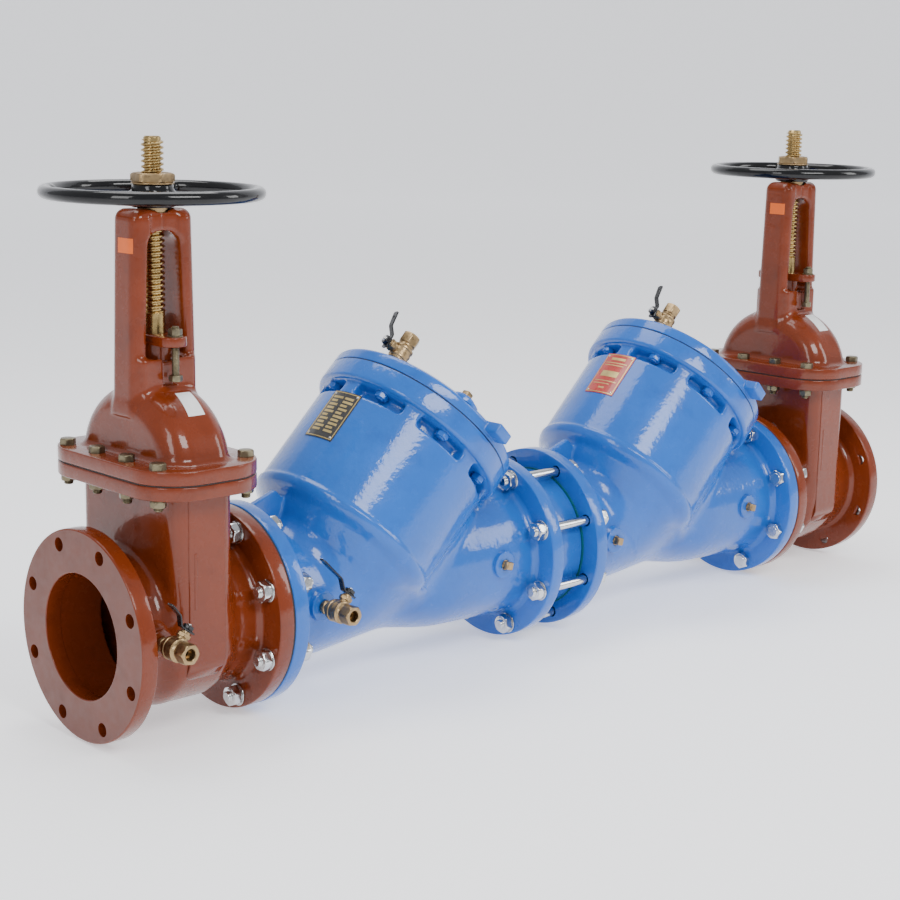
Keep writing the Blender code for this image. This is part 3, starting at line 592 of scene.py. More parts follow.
# ---------------------------------------------------------------- bonnet and yoke
def yoke_half(z):
    return 61.5 - 5 * np.clip((z - 390) / 260, -0.3, 1.1)


def bonnet_field(x, y, z):
    ax, ay = np.abs(x), np.abs(y)
    zz = np.maximum(z - 262, 0)
    a, b = 139.0, 127.0
    q = np.sqrt((y / a) ** 2 + (zz / b) ** 2)
    g = np.sqrt((y / a ** 2) ** 2 + (zz / b ** 2) ** 2)
    dome = np.where(q < 1e-3, -a, q * (q - 1) / np.maximum(g, 1e-7))
    dome = ri(dome, ax - 62, 40)
    hx = yoke_half(z)
    hy = 34.5 - 2 * np.clip((z - 390) / 260, 0, 1)
    fb = ri(ax - hx, ay - hy, 17)
    fb = ri(fb, z - 663, 17)
    fb = np.maximum(fb, 345 - z)
    # shallow panel between the two arms, above the window
    fb = rcut(fb, ri(ax - 25, hy - 3.5 - ay, 3), 5)
    wi = 29 + 8 * np.clip((627 - z) / 196, 0, 1)
    window = np.maximum(ri(ax - wi, z - 627, 22), 424 - z)
    fb = rcut(fb, window, 8)
    block = ri(ri(ax - 51.5, ay - 42, 9), z - 433, 4)
    block = np.maximum(block, 340 - z)
    block = rcut(block, ri(ri(ax - 30, ay - 37, 4), 426 - z, 2), 2)
    lower = ru(dome, block, 9)
    plate = np.maximum(np.maximum(266 - z, z - 279.6), box_distance(x, y, 100, 166, 74))
    lower = np.maximum(lower, 266 - z)
    lower = ru(lower, plate, 12)
    solid = ru(lower, fb, 7)
    # slot in the block's face for each gland bolt
    notch = ri(ax - 12.5, 34.5 - ay, 5)
    solid = rcut(solid, np.maximum(notch, 390 - z), 3)
    # hollow for the wedge, stem bore, gland bore, yoke nut bore
    q = np.sqrt((y / 123) ** 2 + (zz / 106) ** 2)
    g = np.sqrt((y / 123 ** 2) ** 2 + (zz / 106 ** 2) ** 2)
    hollow = ri(np.where(q < 1e-3, -123.0, q * (q - 1) / np.maximum(g, 1e-7)), ax - 44, 22)
    rad = np.sqrt(x * x + y * y)
    bores = np.minimum(np.minimum(hollow, rad - 18.4), np.minimum(np.maximum(rad - 26.6, 407 - z), np.maximum(rad - 25.2, 630 - z)))
    return rcut(solid, bores, 1.2)


def bonnet_piece():
    piece = Piece("bonnet_casting")
    piece.add(nets(bonnet_field, (-106, -172, 262), (106, 172, 665), 2.9), RED, soft=True)
    piece.add(plate_ring((108, 174, 80), (44, 121, 32), 258, 280), RED)
    return piece


# ---------------------------------------------------------------- check valve body
_xs = np.arange(-40.0, CHECK_LEN + 41.0, 2.0)
_rs = np.interp(_xs, [28, 150, 300, 410, 603], [124, 114, 99, 120, 125])
_k = np.exp(-0.5 * (np.arange(-30, 31) * 2 / 20.0) ** 2); _k /= _k.sum()
_rs = np.convolve(np.pad(_rs, 30, mode="edge"), _k, mode="valid")


def run_radius(x):
    return np.interp(x, _xs, _rs)


def check_field(x, y, z):
    t = (x - 411) * A - (z - 257) * A
    h = (x - 411) * A + (z - 257) * A
    rr = np.sqrt(t * t + y * y)
    rx = np.sqrt(y * y + z * z)
    run = (rx - run_radius(x)) * 0.98
    run = np.maximum(run, np.maximum(12 - x, x - (CHECK_LEN - 12)))
    # barrel: straight wall, rolled shoulder, cone below
    wall = ri(rr - 172, -264 - h, 15)
    cone = np.maximum((rr - (160 + (h + 264) * 0.62)) * 0.85, -348 - h)
    barrel = ru(wall, np.maximum(cone, h + 250), 12)
    barrel = np.maximum(barrel, h + 12)
    angle = np.arctan2(y, t)
    slot = np.abs(np.mod(angle, math.pi / 4) - math.pi / 8)
    arc = (slot - math.radians(17.0)) * rr
    pocket = ri(ri(149 - rr, np.abs(h + 51) - 11.5, 5), arc, 8)
    barrel = rcut(barrel, pocket, 4)
    ring = ri(rr - 178, np.abs(h + 25) - 12.6, 2)
    barrel = ru(barrel, ring, 5)
    solid = ru(run, barrel, 26)
    # gusset from the inlet flange up to the barrel, each side
    top = (z - (161 + (x - 29) * 0.36)) * 0.94
    web = ri(ri(np.abs(y) - 6.0, top, 3), (x - 120) * 0.7 + (z - 150) * 0.7, 3)
    web = np.maximum(web, np.maximum(12 - x, 100 - z))
    solid = ru(solid, web, 5)
    for edge in (x - 28.2, (CHECK_LEN - x) - 28.2):
        rim = np.maximum(np.maximum(edge, -14.2 - edge), rx - 150)
        solid = ru(solid, rim, 14)
    # water way
    inlet = np.maximum(rx - np.interp(x, [0, 120, 230], [101.9, 98, 86]), h + 262)
    outlet = np.maximum(rx - np.interp(x, [330, 430], [94, 101.9]), -h - 244)
    chamber = np.maximum(np.maximum(rr - (104 + (h + 268) * 0.148), h + 268), -330 - h)
    bore = np.maximum(rr - 134, -246 - h)
    seat = np.maximum(rr - 94, np.abs(h + 257) - 15)
    hollow = np.minimum(np.minimum(np.minimum(inlet, outlet), np.minimum(chamber, bore)), seat)
    return rcut(solid, hollow, 1.5)


def check_piece():
    piece = Piece("check_body_casting")
    piece.add(nets(check_field, (9, -184, -154), (CHECK_LEN - 9, 184, 390), 3.3), BLUE, soft=True)
    flange(0, FLANGE_T, holes=True, piece=piece, mat=BLUE)
    flange(CHECK_LEN - FLANGE_T, CHECK_LEN, holes=True, piece=piece, mat=BLUE)
    ring = softened([(134, 0), (185, 0), (185, -38), (134, -38)], [0.8, 1.6, 7, 0.5], closed=True, steps=4)
    piece.add(bored(lathe(ring, LEAN0, 160, closed=True),
                    [lathe([(0, -45), (9.2, -45), (9.2, 3), (0, 3)], p, 20) for p in cover_places(0)]), BLUE)
    return piece


def cover_places(h, count=8, radius=161.0):
    out = []
    for k in range(count):
        a = math.pi / count + 2 * math.pi * k / count
        out.append(moved(LEAN0, radius * math.cos(a), radius * math.sin(a), h))
    return out


def boss(piece, x, z, mat, top=-128.0, radius=25.0, base=-100.0, bore=9.6):
    m = place((x, 0, z), (0, -1, 0), (0, 0, 1))
    p = softened([(bore, -base), (radius + 13, -base), (radius + 2.5, -base + 13), (radius, -top - 4), (radius, -top), (bore, -top)],
                 [0, 0, 9, 3, 2.2, 0.8], closed=True, steps=4)
    piece.add(lathe(p, m, 56, closed=True), mat)


# ---------------------------------------------------------------- build the castings
gate_mesh = gate_body_piece()
shared = gate_mesh.mesh()
for gate, xc in GATES.items():
    gate_mesh.make("housing", "gate_paint", (gate + "_body",), mesh=shared, shift=xc, name=gate + "_body_casting")
port = Piece("inlet_gate_port_boss")
boss(port, 62.0, 8.0, RED, top=-131.0, radius=21.0, base=-112.0)
port.make("housing", "gate_paint")
bonnet = bonnet_piece()
shared = bonnet.mesh()
for gate, xc in GATES.items():
    bonnet.make("housing", "gate_paint", (gate + "_bonnet",), mesh=shared, shift=xc, name=gate + "_bonnet_casting")
check = check_piece()
shared = check.mesh()
for name, x0 in CHECKS.items():
    check.make("housing", "check_paint", (name + "_body",), mesh=shared, shift=x0, name=name + "_body_casting")
for name, ports in (("check1", ((94.0, 5.0), (522.0, 3.0))), ("check2", ((101.0, 0.0), (518.0, 5.0)))):
    piece = Piece(name + "_port_bosses")
    for x, z in ports:
        boss(piece, CHECKS[name] + x, z, BLUE)
    piece.make("housing", "check_paint")


# ---------------------------------------------------------------- covers
def at_check(x0):
    m = LEAN0.copy(); m[0, 3] += x0
    return m


def cover_piece(name, x0, plug):
    m = at_check(x0)
    piece = Piece(name + "_cover_casting")
    p = softened([(0, 31), (168, 31), (184.5, 22), (184.5, 2.2), (134, 2.2), (132, 6), (32, 4), (27, -60), (12.6, -60), (12.6, 14), (0, 14)],
                 [0, 10, 8, 1.6, 1, 1, 6, 3, 1, 0, 0], steps=5)
    piece.add(lathe(list(reversed(p)), m, 160), BLUE)
    # square lug on the rim
    lug = moved(place(m[:3, 3] - np.array((0, 176.0, 0)) + TILT * 18, TILT, SLOPE))
    sections = []
    piece.add(slab(19, 24, 4, -10, 9.5, moved(lug, 0, -12, 0), bevel=2.6), BLUE)
    piece.add(slab(23, 14, 6, -12, 8.0, moved(lug, 0, 5, 0), bevel=3.0), BLUE)
    b = softened([(9.6, 26), (34, 26), (34, 31.2), (24, 31.2), (9.6, 31.2)], [0, 0, 0.5, 0.5, 0.5], closed=True, steps=2)
    piece.add(lathe(b, moved(m, -118, 3, 0), 56, closed=True), BLUE)
    if plug:
        b = softened([(9.6, 24), (31, 24), (31, 30.5), (22.5, 33), (20, 38), (9.6, 38)], [0, 0, 1, 5, 2, 0.8], closed=True, steps=4)
        piece.add(lathe(b, moved(m, -58, -140, 0), 56, closed=True), BLUE)
    piece.make("housing", "check_paint", (name + "_cover",))
    seal = Piece(name + "_cover_seal")
    seal.add(lathe([(136, 0.3), (183.2, 0.3), (183.2, 1.9), (136, 1.9)], m, 128, closed=True), RUBBER)
    seal.make("housing", "rubber", (name + "_cover_gasket",))
    bolts = Piece(name + "_cover_screws")
    for q in cover_places(0):
        q = q.copy(); q[0, 3] += x0
        bolts.add(hexagon(12.4, -50.5, -40.4, place(q[:3, 3], TILT, q[:3, 3] - m[:3, 3]), 1.6), BLUE)
        bolts.add(washer(13.4, 7, -40.3, -38.4, q), BLUE)
        bolts.add(lathe(softened([(0, -53), (7.2, -53), (7.2, 22), (0, 22)], [0, 1.2, 0, 0], steps=2), q, 20), BLUE)
    bolts.make("housing", "check_paint", (name + "_cover_bolts",))


cover_piece("check1", CHECKS["check1"], True)
cover_piece("check2", CHECKS["check2"], False)


# ---------------------------------------------------------------- nameplates, curved to the barrel
def nameplate(name, x0, a0, a1, h0, h1, ground, mark, rows):
    m = at_check(x0)
    piece = Piece(name)

    def patch(u0, u1, v0, v1, lift, thick, mat, nu=14):
        ang = np.radians(np.linspace(a0 + (a1 - a0) * u0, a0 + (a1 - a0) * u1, nu))
        top, bottom = h1 + (h0 - h1) * v0, h1 + (h0 - h1) * v1
        rows_ = []
        for s in ((172.0 + lift - thick, bottom), (172.0 + lift, bottom), (172.0 + lift, top), (172.0 + lift - thick, top)):
            rows_.append(np.stack([s[0] * np.cos(ang), s[0] * np.sin(ang), np.full(nu, s[1])], 1))
        sections = [[r[i] for r in rows_] for i in range(nu)]
        piece.add(stack(sections, m), mat)
    patch(0, 1, 0, 1, 1.5, 2.5, ground)
    for u0, u1, v0, v1 in ((0.03, 0.97, 0.02, 0.035), (0.03, 0.97, 0.965, 0.98)):
        patch(u0, u1, v0, v1, 1.9, 1.0, mark)
    for u0, u1 in ((0.03, 0.05), (0.95, 0.97)):
        patch(u0, u1, 0.035, 0.965, 1.9, 1.0, mark, 3)
    for v0, v1, spans in rows:
        for u0, u1 in spans:
            patch(u0, u1, v0, v1, 1.9, 1.0, mark, 5)
    for u, v in ((0.09, 0.06), (0.91, 0.06), (0.09, 0.94), (0.91, 0.94)):
        ang = math.radians(a0 + (a1 - a0) * u); hh = h1 + (h0 - h1) * v
        out = np.array((math.cos(ang), math.sin(ang), 0))
        q = place(put(np.array([[173.2 * out[0], 173.2 * out[1], hh]]), m)[0], m[:3, :3] @ out, TILT)
        piece.add(lathe(softened([(2.1, -1), (2.1, 1.2), (0, 1.7)], [0, 0.6, 0]), q, 16), ZINC)
    piece.make("housing", "check_paint")


fields = [(0.11 + 0.078 * k, 0.155 + 0.078 * k, [(0.12, 0.12 + (0.35, 0.22, 0.3, 0.26, 0.33, 0.2, 0.3, 0.24, 0.34, 0.28)[k]),
                                                (0.55, 0.55 + (0.3, 0.34, 0.22, 0.3, 0.2, 0.33, 0.26, 0.3, 0.22, 0.3)[k])]) for k in range(10)]
nameplate("check1_rating_plate", CHECKS["check1"], 172.3, 194.1, -163, -64, INK, GOLD, fields)
nameplate("check2_rating_plate", CHECKS["check2"], 168.8, 192.2, -162, -64, PLATE_RED, GOLD,
          [(0.10, 0.16, [(0.25, 0.75)]), (0.22, 0.24, [(0.12, 0.88)]), (0.28, 0.30, [(0.12, 0.8)]), (0.44, 0.58, [(0.2, 0.8)]),
           (0.68, 0.70, [(0.12, 0.88)]), (0.75, 0.77, [(0.12, 0.7)]), (0.84, 0.88, [(0.4, 0.6)])])


# ---------------------------------------------------------------- labels on the gate valves
def dome_label(name, xc):
    nu, nv = 9, 13
    pts = []
    for j in range(nv):
        v = j / (nv - 1)
        for i in range(nu):
            u = i / (nu - 1)
            pts.append(((1 - v) * (-1 + 28 * u) + v * (-8 + 31 * u), -56 - 45 * v, 381 - 31 * v))
    p = np.array(pts, float)
    for _ in range(6):
        p = settle(bonnet_field, p, 6.0, 0.35)
    low = p.copy()
    for _ in range(2):
        low = settle(bonnet_field, low, 2.0, -0.6)
    v = np.concatenate([p, low]); n = nu * nv; f = []
    for j in range(nv - 1):
        for i in range(nu - 1):
            a = j * nu + i
            f.append((a, a + 1, a + nu + 1, a + nu)); f.append((n + a + nu, n + a + nu + 1, n + a + 1, n + a))
    edge = [i for i in range(nu)] + [j * nu + nu - 1 for j in range(1, nv)] + [(nv - 1) * nu + i for i in range(nu - 2, -1, -1)] + [j * nu for j in range(nv - 2, 0, -1)]
    for a, b in zip(edge, edge[1:] + edge[:1]):
        f.append((b, a, n + a, n + b))
    piece = Piece(name); piece.add(outward(v, f), WHITE)
    return piece.make("housing", "gate_paint", shift=xc)


def arm_label(name, xc, z0=596.0, z1=619.0, y0=-25.0, y1=11.0):
    nz, ny = 5, 9
    p = np.array([(-70.0, y0 + (y1 - y0) * i / (ny - 1), z0 + (z1 - z0) * j / (nz - 1)) for j in range(nz) for i in range(ny)])
    for _ in range(8):
        d = bonnet_field(p[:, 0], p[:, 1], p[:, 2]) - 0.35
        p[:, 0] += d * 0.95
    low = p.copy(); low[:, 0] += 1.0
    v = np.concatenate([p, low]); n = ny * nz; f = []
    for j in range(nz - 1):
        for i in range(ny - 1):
            a = j * ny + i
            f.append((a, a + 1, a + ny + 1, a + ny)); f.append((n + a + ny, n + a + ny + 1, n + a + 1, n + a))
    edge = list(range(ny)) + [j * ny + ny - 1 for j in range(1, nz)] + [(nz - 1) * ny + i for i in range(ny - 2, -1, -1)] + [j * ny for j in range(nz - 2, 0, -1)]
    for a, b in zip(edge, edge[1:] + edge[:1]):
        f.append((b, a, n + a, n + b))
    piece = Piece(name); piece.add(outward(v, f), ORANGE)
    return piece.make("housing", "gate_paint", shift=xc)


for gate, xc in GATES.items():
    dome_label(gate + "_white_label", xc)
    arm_label(gate + "_orange_label", xc)


# ---------------------------------------------------------------- spacer, gaskets, flange bolts
spacer = Piece("spacer_ring_casting")
spacer.add(lathe(softened([(101.3, SPACER[0]), (133, SPACER[0]), (133, SPACER[1]), (101.3, SPACER[1])], 1.5, closed=True, steps=3), ALONG, 128, closed=True), BLUE)
spacer.make("housing", "check_paint", ("spacer_ring",))
for node, x, radius, mat, slot in (("inlet_joint_gasket", 2 * HALF, 169.6, RUBBER, "rubber"),
                                   ("outlet_joint_gasket", CHECKS["check2"] + CHECK_LEN, 169.6, RUBBER, "rubber"),
                                   ("spacer_inlet_gasket", SPACER[0] - 3.2, 135.5, FIBRE, "green_fibre"),
                                   ("spacer_outlet_gasket", SPACER[1], 135.5, FIBRE, "green_fibre")):
    piece = Piece(node + "_sheet")
    part = lathe([(101.8, x + 0.2), (radius, x + 0.2), (radius, x + 3.0), (101.8, x + 3.0)], ALONG, 128, closed=True)
    piece.add(part, mat)
    piece.make("housing", slot, (node,))


def joint_bolts(name, x0, x1, heads_at=None, long_studs=False):
    """Eight fasteners through a flanged joint whose outer faces are at x0 and x1."""
    piece = Piece(name + "_set")
    for k in range(8):
        a = math.pi / 8 + 2 * math.pi * k / 8
        c = np.array((0, BOLT_R * math.sin(a), BOLT_R * math.cos(a)))
        turn = 0.37 * k + (0.9 if long_studs else 0.2)
        hint = (0, math.cos(turn), math.sin(turn))
        for x, s, side in ((x0, -1, 0), (x1, 1, 1)):
            q = place(c + np.array((x, 0, 0)), (s, 0, 0), hint)
            if heads_at == side:
                piece.add(hexagon(18.2, 0.3, 12.4, q, 2.2, both=False), ZINC)
                piece.add(lathe([(0, 12.2), (11.5, 12.2), (11.0, 12.9), (0, 12.9)], q, 24), ZINC)
            else:
                piece.add(washer(18.8, 10.5, 0.2, 2.8, q), ZINC)
                piece.add(hexagon(18.2, 2.9, 18.4, q, 2.2), ZINC)
                piece.add(stud(9.5, 10, 24.5 + 2.5 * ((k * 3 + side) % 3), q, 3.2, 24), ZINC)
        q = place(c + np.array((x0, 0, 0)), (1, 0, 0), hint)
        if long_studs:
            piece.add(lathe([(0, -8), (9.3, -8), (9.3, x1 - x0 + 8), (0, x1 - x0 + 8)], q, 40), ZINC)
        else:
            piece.add(lathe([(0, -6), (9.5, -6), (9.5, x1 - x0 + 6), (0, x1 - x0 + 6)], q, 28), ZINC)
    piece.make("housing", "zinc", (name,))


joint_bolts("inlet_joint_bolts", 2 * HALF - FLANGE_T, CHECKS["check1"] + FLANGE_T)
joint_bolts("spacer_joint_studs", CHECKS["check1"] + CHECK_LEN - FLANGE_T, CHECKS["check2"] + FLANGE_T, long_studs=True)
joint_bolts("outlet_joint_bolts", CHECKS["check2"] + CHECK_LEN - FLANGE_T, CHECKS["check2"] + CHECK_LEN + 3.2 + FLANGE_T, heads_at=0)


# ---------------------------------------------------------------- gate valve fittings
def gate_fittings(gate, xc):
    which = gate.split("_")[0]
    up = place((xc, 0, 0), (0, 0, 1))
    seal = Piece(gate + "_bonnet_seal")
    seal.add(plate_ring((106.5, 172.5, 78.5), (46, 123, 34), 256.1, 257.9, up, bevel=0.4), RUBBER)
    seal.make("housing", "rubber", (gate + "_bonnet_gasket",))
    bolts = Piece(gate + "_bonnet_screws")
    for k, (x, y) in enumerate([(sx * 83.0, sy) for sx in (-1, 1) for sy in (-125.0, -41.7, 41.7, 125.0)]):
        spin = 0.5 * k + 0.3
        q = place((xc + x, y, 280.0), (0, 0, 1), (math.cos(spin), math.sin(spin), 0))
        bolts.add(hexagon(13.2, 0.2, 10.6, q, 1.6, both=False), YELLOW)
        bolts.add(lathe([(0, -47), (7.8, -47), (7.8, 1), (0, 1)], q, 20), YELLOW)
        d = place((xc + x, y, 234.0), (0, 0, -1), (math.cos(spin + 0.4), math.sin(spin + 0.4), 0))
        bolts.add(washer(13.8, 8, 0.2, 1.8, d), YELLOW)
        bolts.add(hexagon(13.2, 1.9, 12.4, d, 1.6), YELLOW)
        bolts.add(stud(7.8, 6, 18.5 + (k * 5 % 3), d, 2.1, 20), YELLOW)
    bolts.make("housing", "yellow_zinc", (gate + "_bonnet_bolts",))
    # wedge: iron core under moulded rubber, with guide lips and the slot for the stem's head
    wedge = Piece(gate + "_wedge_moulded")
    along = place((xc, 0, 0), (1, 0, 0), (0, 0, 1))
    body = lathe(softened([(0, -22), (70, -22), (76, -26), (92, -26), (105.6, -17), (105.6, 17), (92, 26), (76, 26), (70, 22), (0, 22)],
                          [0, 3, 3, 4, 5, 5, 4, 3, 3, 0], steps=3), along, 112)
    body = bored(body, [slab(26, 38, 5, 60, 122, up, 2)], "UNION")
    slot = [stack([[(x, -24, 96), (x, 24, 96), (x, 24, 110), (x, -24, 110)] for x in (-40, 40)], up),
            stack([[(x, -18.6, 109), (x, 18.6, 109), (x, 18.6, 130), (x, -18.6, 130)] for x in (-40, 40)], up)]
    wedge.add(bored(bored(body, slot[:1]), slot[1:]), RUBBER)
    wedge.make(which + "_stem", "rubber", (gate + "_wedge",))
    # stem: plain through the packing, screwed above it
    stem = Piece(gate + "_screwed_stem")
    stem.add(slab(20, 23, 3, 96.6, 109.4, up, 1.5), BRASS)
    stem.add(lathe(softened([(0, 104), (17.2, 104), (17.2, 500), (14.2, 503), (14.2, 506), (0, 506)], [0, 0, 1, 0, 0, 0], steps=3), up, 48), BRASS)
    stem.add(helix(17.5, 12.9, 8.4, 499, 769, up, 48, 14, 0.30, 3.0), BRASS)
    stem.add(lathe(softened([(13.6, 764), (13.6, 770.2), (11.5, 772.8), (0, 772.8)], [0, 1, 1, 0], steps=3), up, 40), BRASS)
    stem.make(which + "_stem", "brass", (gate + "_stem",))
    nut = Piece(gate + "_yoke_sleeve")
    nut.add(lathe(softened([(18.2, 631), (24.4, 631), (24.4, 716), (18.2, 716)], 0.8, closed=True, steps=2), up, 56, closed=True), BRONZE)
    nut.make(which + "_wheel", "bronze", (gate + "_yoke_nut",))
    top = Piece(gate + "_wheel_nut")
    spin = 0.35 if which == "inlet" else 0.7
    top.add(hexagon(34.5, 701.6, 717, place((xc, 0, 0), (0, 0, 1), (math.cos(spin), math.sin(spin), 0)), 3.0, bore=25.0, sides=72), BRONZE)
    top.add(lathe(softened([(25.2, 700.2), (33.5, 700.2), (33.5, 702), (25.2, 702)], 0.4, closed=True, steps=2), up, 56, closed=True), BRONZE)
    top.make(which + "_wheel", "bronze", (gate + "_handwheel_nut",))
    gland = Piece(gate + "_gland_follower")
    flange_ = slab(22, 69.5, 20.5, 452.2, 468, up, 2.4)
    nose = lathe([(0, 412), (25.3, 412), (25.3, 456), (0, 456)], up, 48)
    flange_ = bored(flange_, [nose], "UNION")
    gland.add(bored(flange_, [lathe([(0, 400), (18.0, 400), (18.0, 480), (0, 480)], up, 40)]), RED)
    gland.make("housing", "gate_paint", (gate + "_gland",))
    gb = Piece(gate + "_gland_studs")
    for s in (-1, 1):
        q = place((xc, s * 56.0, 0), (0, 0, 1), (math.cos(0.5 * s), math.sin(0.5 * s), 0))
        gb.add(washer(12.0, 6.3, 468.1, 469.9, q), YELLOW)
        gb.add(hexagon(11.2, 470, 480.5, q, 1.5), YELLOW)
        gb.add(stud(6.2, 399, 484.5, q, 2.6, 20), YELLOW)
        gb.add(hexagon(11.0, 398.2, 407.8, q, 1.5), YELLOW)
    gb.make("housing", "yellow_zinc", (gate + "_gland_bolts",))


for gate, xc in GATES.items():
    gate_fittings(gate, xc)


# ---------------------------------------------------------------- handwheels
def wheel_field(x, y, z):
    z = z - WHEEL_Z
    rad = np.sqrt(x * x + y * y)
    rim = np.sqrt((rad - 164.5) ** 2 + z * z) - 10.5
    hubr = 34 + (-z - 13) * 0.08
    hub = ri(rad - hubr, np.abs(z + 5) - 17.8, 3.5)
    # four dished spokes on the diagonals: elliptical section, swelling at hub and rim
    u = np.abs(x) * A + np.abs(y) * A
    v = (np.abs(x) - np.abs(y)) * A
    f = np.clip((u - 30) / 130, 0, 1)
    cz = -8 + 7.5 * f * f
    w = 12.5 - 4.5 * np.sin(f * math.pi * 0.55)
    hgt = 7.4 - 1.8 * f
    q = np.sqrt((v / w) ** 2 + ((z - cz) / hgt) ** 2)
    g = np.sqrt((v / (w * w)) ** 2 + ((z - cz) / (hgt * hgt)) ** 2)
    spoke = np.where(q < 1e-3, -hgt, q * (q - 1) / np.maximum(g, 1e-7))
    spoke = np.maximum(np.maximum(spoke, u - 160), 20 - u)
    solid = ru(ru(rim, spoke, 7), hub, 8)
    return rcut(solid, rad - 24.9, 1)


wheel = Piece("handwheel_casting")
wheel.add(nets(wheel_field, (-178, -178, WHEEL_Z - 27), (178, 178, WHEEL_Z + 16), 2.3), BLACK, soft=True)
shared = wheel.mesh()
for gate, xc in GATES.items():
    wheel.make(gate.split("_")[0] + "_wheel", "wheel_paint", (gate + "_handwheel",), mesh=shared, shift=xc, name=gate + "_handwheel_casting")


# ---------------------------------------------------------------- test cocks and plugs
def cock(name, base, flow, stem_dir, lever_dir, reach=84.0):
    flow = np.array(flow, float) / np.linalg.norm(flow)
    run = place(base, flow, stem_dir)                 # local X is the stem, local Z the flow
    ball = put(np.array([[0, 0, 36.0]]), run)[0]
    spin = place(ball, run[:3, 0], lever_dir)         # local Z is the stem, local X the lever
    body = Piece(name + "_bronze_body")
    p = softened([(8.9, -12), (8.9, 2), (12.0, 2), (12.0, 9), (10.2, 10.5), (10.2, 14), (17.2, 20), (17.2, 24), (18.8, 24.8), (18.8, 28.5),
                  (17.6, 29.3), (18.9, 36), (17.6, 42.7), (18.8, 43.5), (18.8, 47.5), (16.6, 48.4), (14.2, 52), (14.2, 60)],
                 [0, 0, 0.8, 0.8, 0.5, 1, 2, 0.6, 0.6, 0.6, 1, 3, 1, 0.6, 0.6, 1, 1, 0], steps=2)
    p = [(0, -12)] + [tuple(q) for q in p] + [(0, 60)]
    shell = lathe(p, run, 40)
    shell = bored(shell, [lathe([(0, -1), (9.4, -1), (9.4, 20), (8.2, 30.6), (0, 30.6)], spin, 28)], "UNION")
    body.add(bored(shell, [lathe([(0, -14), (6.4, -14), (6.4, 62), (0, 62)], run, 28),
                           lathe([(0, -12.6), (9, -9.3), (12.7, 0), (9, 9.3), (0, 12.6)], spin, 28),
                           lathe([(0, 6), (4.9, 6), (4.9, 33), (0, 33)], spin, 24)]), BRONZE)
    body.add(hexagon(12.6, 3, 9, run, 1.0, both=True, bore=6.5, sides=48), BRONZE)
    end = hexagon(17.4, 55, 76, run, 2.2, both=True, bore=9.2, sides=48)
    body.add(end, BRONZE)
    body.add(hexagon(12.0, 20.5, 27.5, spin, 1.2, both=True, bore=5.2, sides=48), BRONZE)
    body.make("housing", "bronze", (name + "_body",))
    ballp = Piece(name + "_ball_and_stem")
    sph = lathe([(0, -11.6)] + [(11.6 * math.cos(t), 11.6 * math.sin(t)) for t in np.linspace(-1.35, 1.35, 15)] + [(0, 11.6)], spin, 36)
    ballp.add(bored(sph, [lathe([(0, -20), (5.6, -20), (5.6, 20), (0, 20)], place(ball, spin[:3, 0]), 24)]), STEEL)
    ballp.add(helix(4.4, 3.7, 1.4, 8, 44, spin, 20, 6), STEEL)
    ballp.make(name + "_handle", "stainless", (name + "_ball",))
    lever = Piece(name + "_flat_lever")
    path = softened([(-11, 33.2), (14, 33.2), (min(31, reach - 24), 46.0), (reach, 51.5)], [0, 7, 10, 0], steps=6)
    length = np.concatenate([[0], np.cumsum([np.linalg.norm(b - a) for a, b in zip(path, path[1:])])])
    rows = []
    for i, q in enumerate(path):
        a, b = path[max(0, i - 1)], path[min(len(path) - 1, i + 1)]
        t = (b - a) / np.linalg.norm(b - a); n = np.array((-t[1], t[0]))
        s = length[i] / length[-1]
        w = 8.6 - 2.9 * min(1, s * 3.2) + 1.6 * max(0, s - 0.55) * 2
        th = 1.35
        rows.append([(q[0] + n[0] * dz, yy, q[1] + n[1] * dz) for yy, dz in
                     ((-w, -th + 0.5), (-w + 0.5, -th), (w - 0.5, -th), (w, -th + 0.5), (w, th - 0.5), (w - 0.5, th), (-w + 0.5, th), (-w, th - 0.5))])
    # rounded tip and heel
    def trimmed(row, sx, k):
        return [(x + sx, y * k, z) for x, y, z in row]
    rows = [trimmed(rows[0], -3.2, 0.45), trimmed(rows[0], -2.0, 0.8)] + rows + [trimmed(rows[-1], 2.0, 0.86), trimmed(rows[-1], 3.6, 0.5)]
    strip = stack(rows, spin)
    lever.add(bored(strip, [lathe([(0, 28), (4.9, 28), (4.9, 40), (0, 40)], spin, 24),
                            lathe([(0, 40), (2.6, 40), (2.6, 60), (0, 60)], moved(spin, reach - 8, 0, 0), 20)]), LEVER)
    lever.add(hexagon(9.6, 35.2, 41.4, spin, 1.3, bore=4.5), LEVER)
    lever.add(lathe(softened([(4.9, 34.7), (10.2, 34.7), (10.2, 35.3), (4.9, 35.3)], 0.2, closed=True), spin, 32, closed=True), LEVER)
    lever.make(name + "_handle", "lever_steel", (name + "_lever",))


lean = math.radians(38)
side_stem = (math.sin(lean), 0, math.cos(lean))
cock("gate_cock", (62.0, -131.4, 8.0), (0, -1, 0), side_stem, (-1, 0, 0), 50.0)
cock("check1_side_cock", (CHECKS["check1"] + 94.0, -128.4, 5.0), (0, -1, 0), side_stem, (-1, 0, 0))
for name in ("check1", "check2"):
    m = at_check(CHECKS[name])
    base = put(np.array([[-118, 3, 31.4]]), m)[0]
    cock(name + "_top_cock", base, TILT, -0.966 * SLOPE + np.array((0, 0.26, 0)), TILT, 50.0)


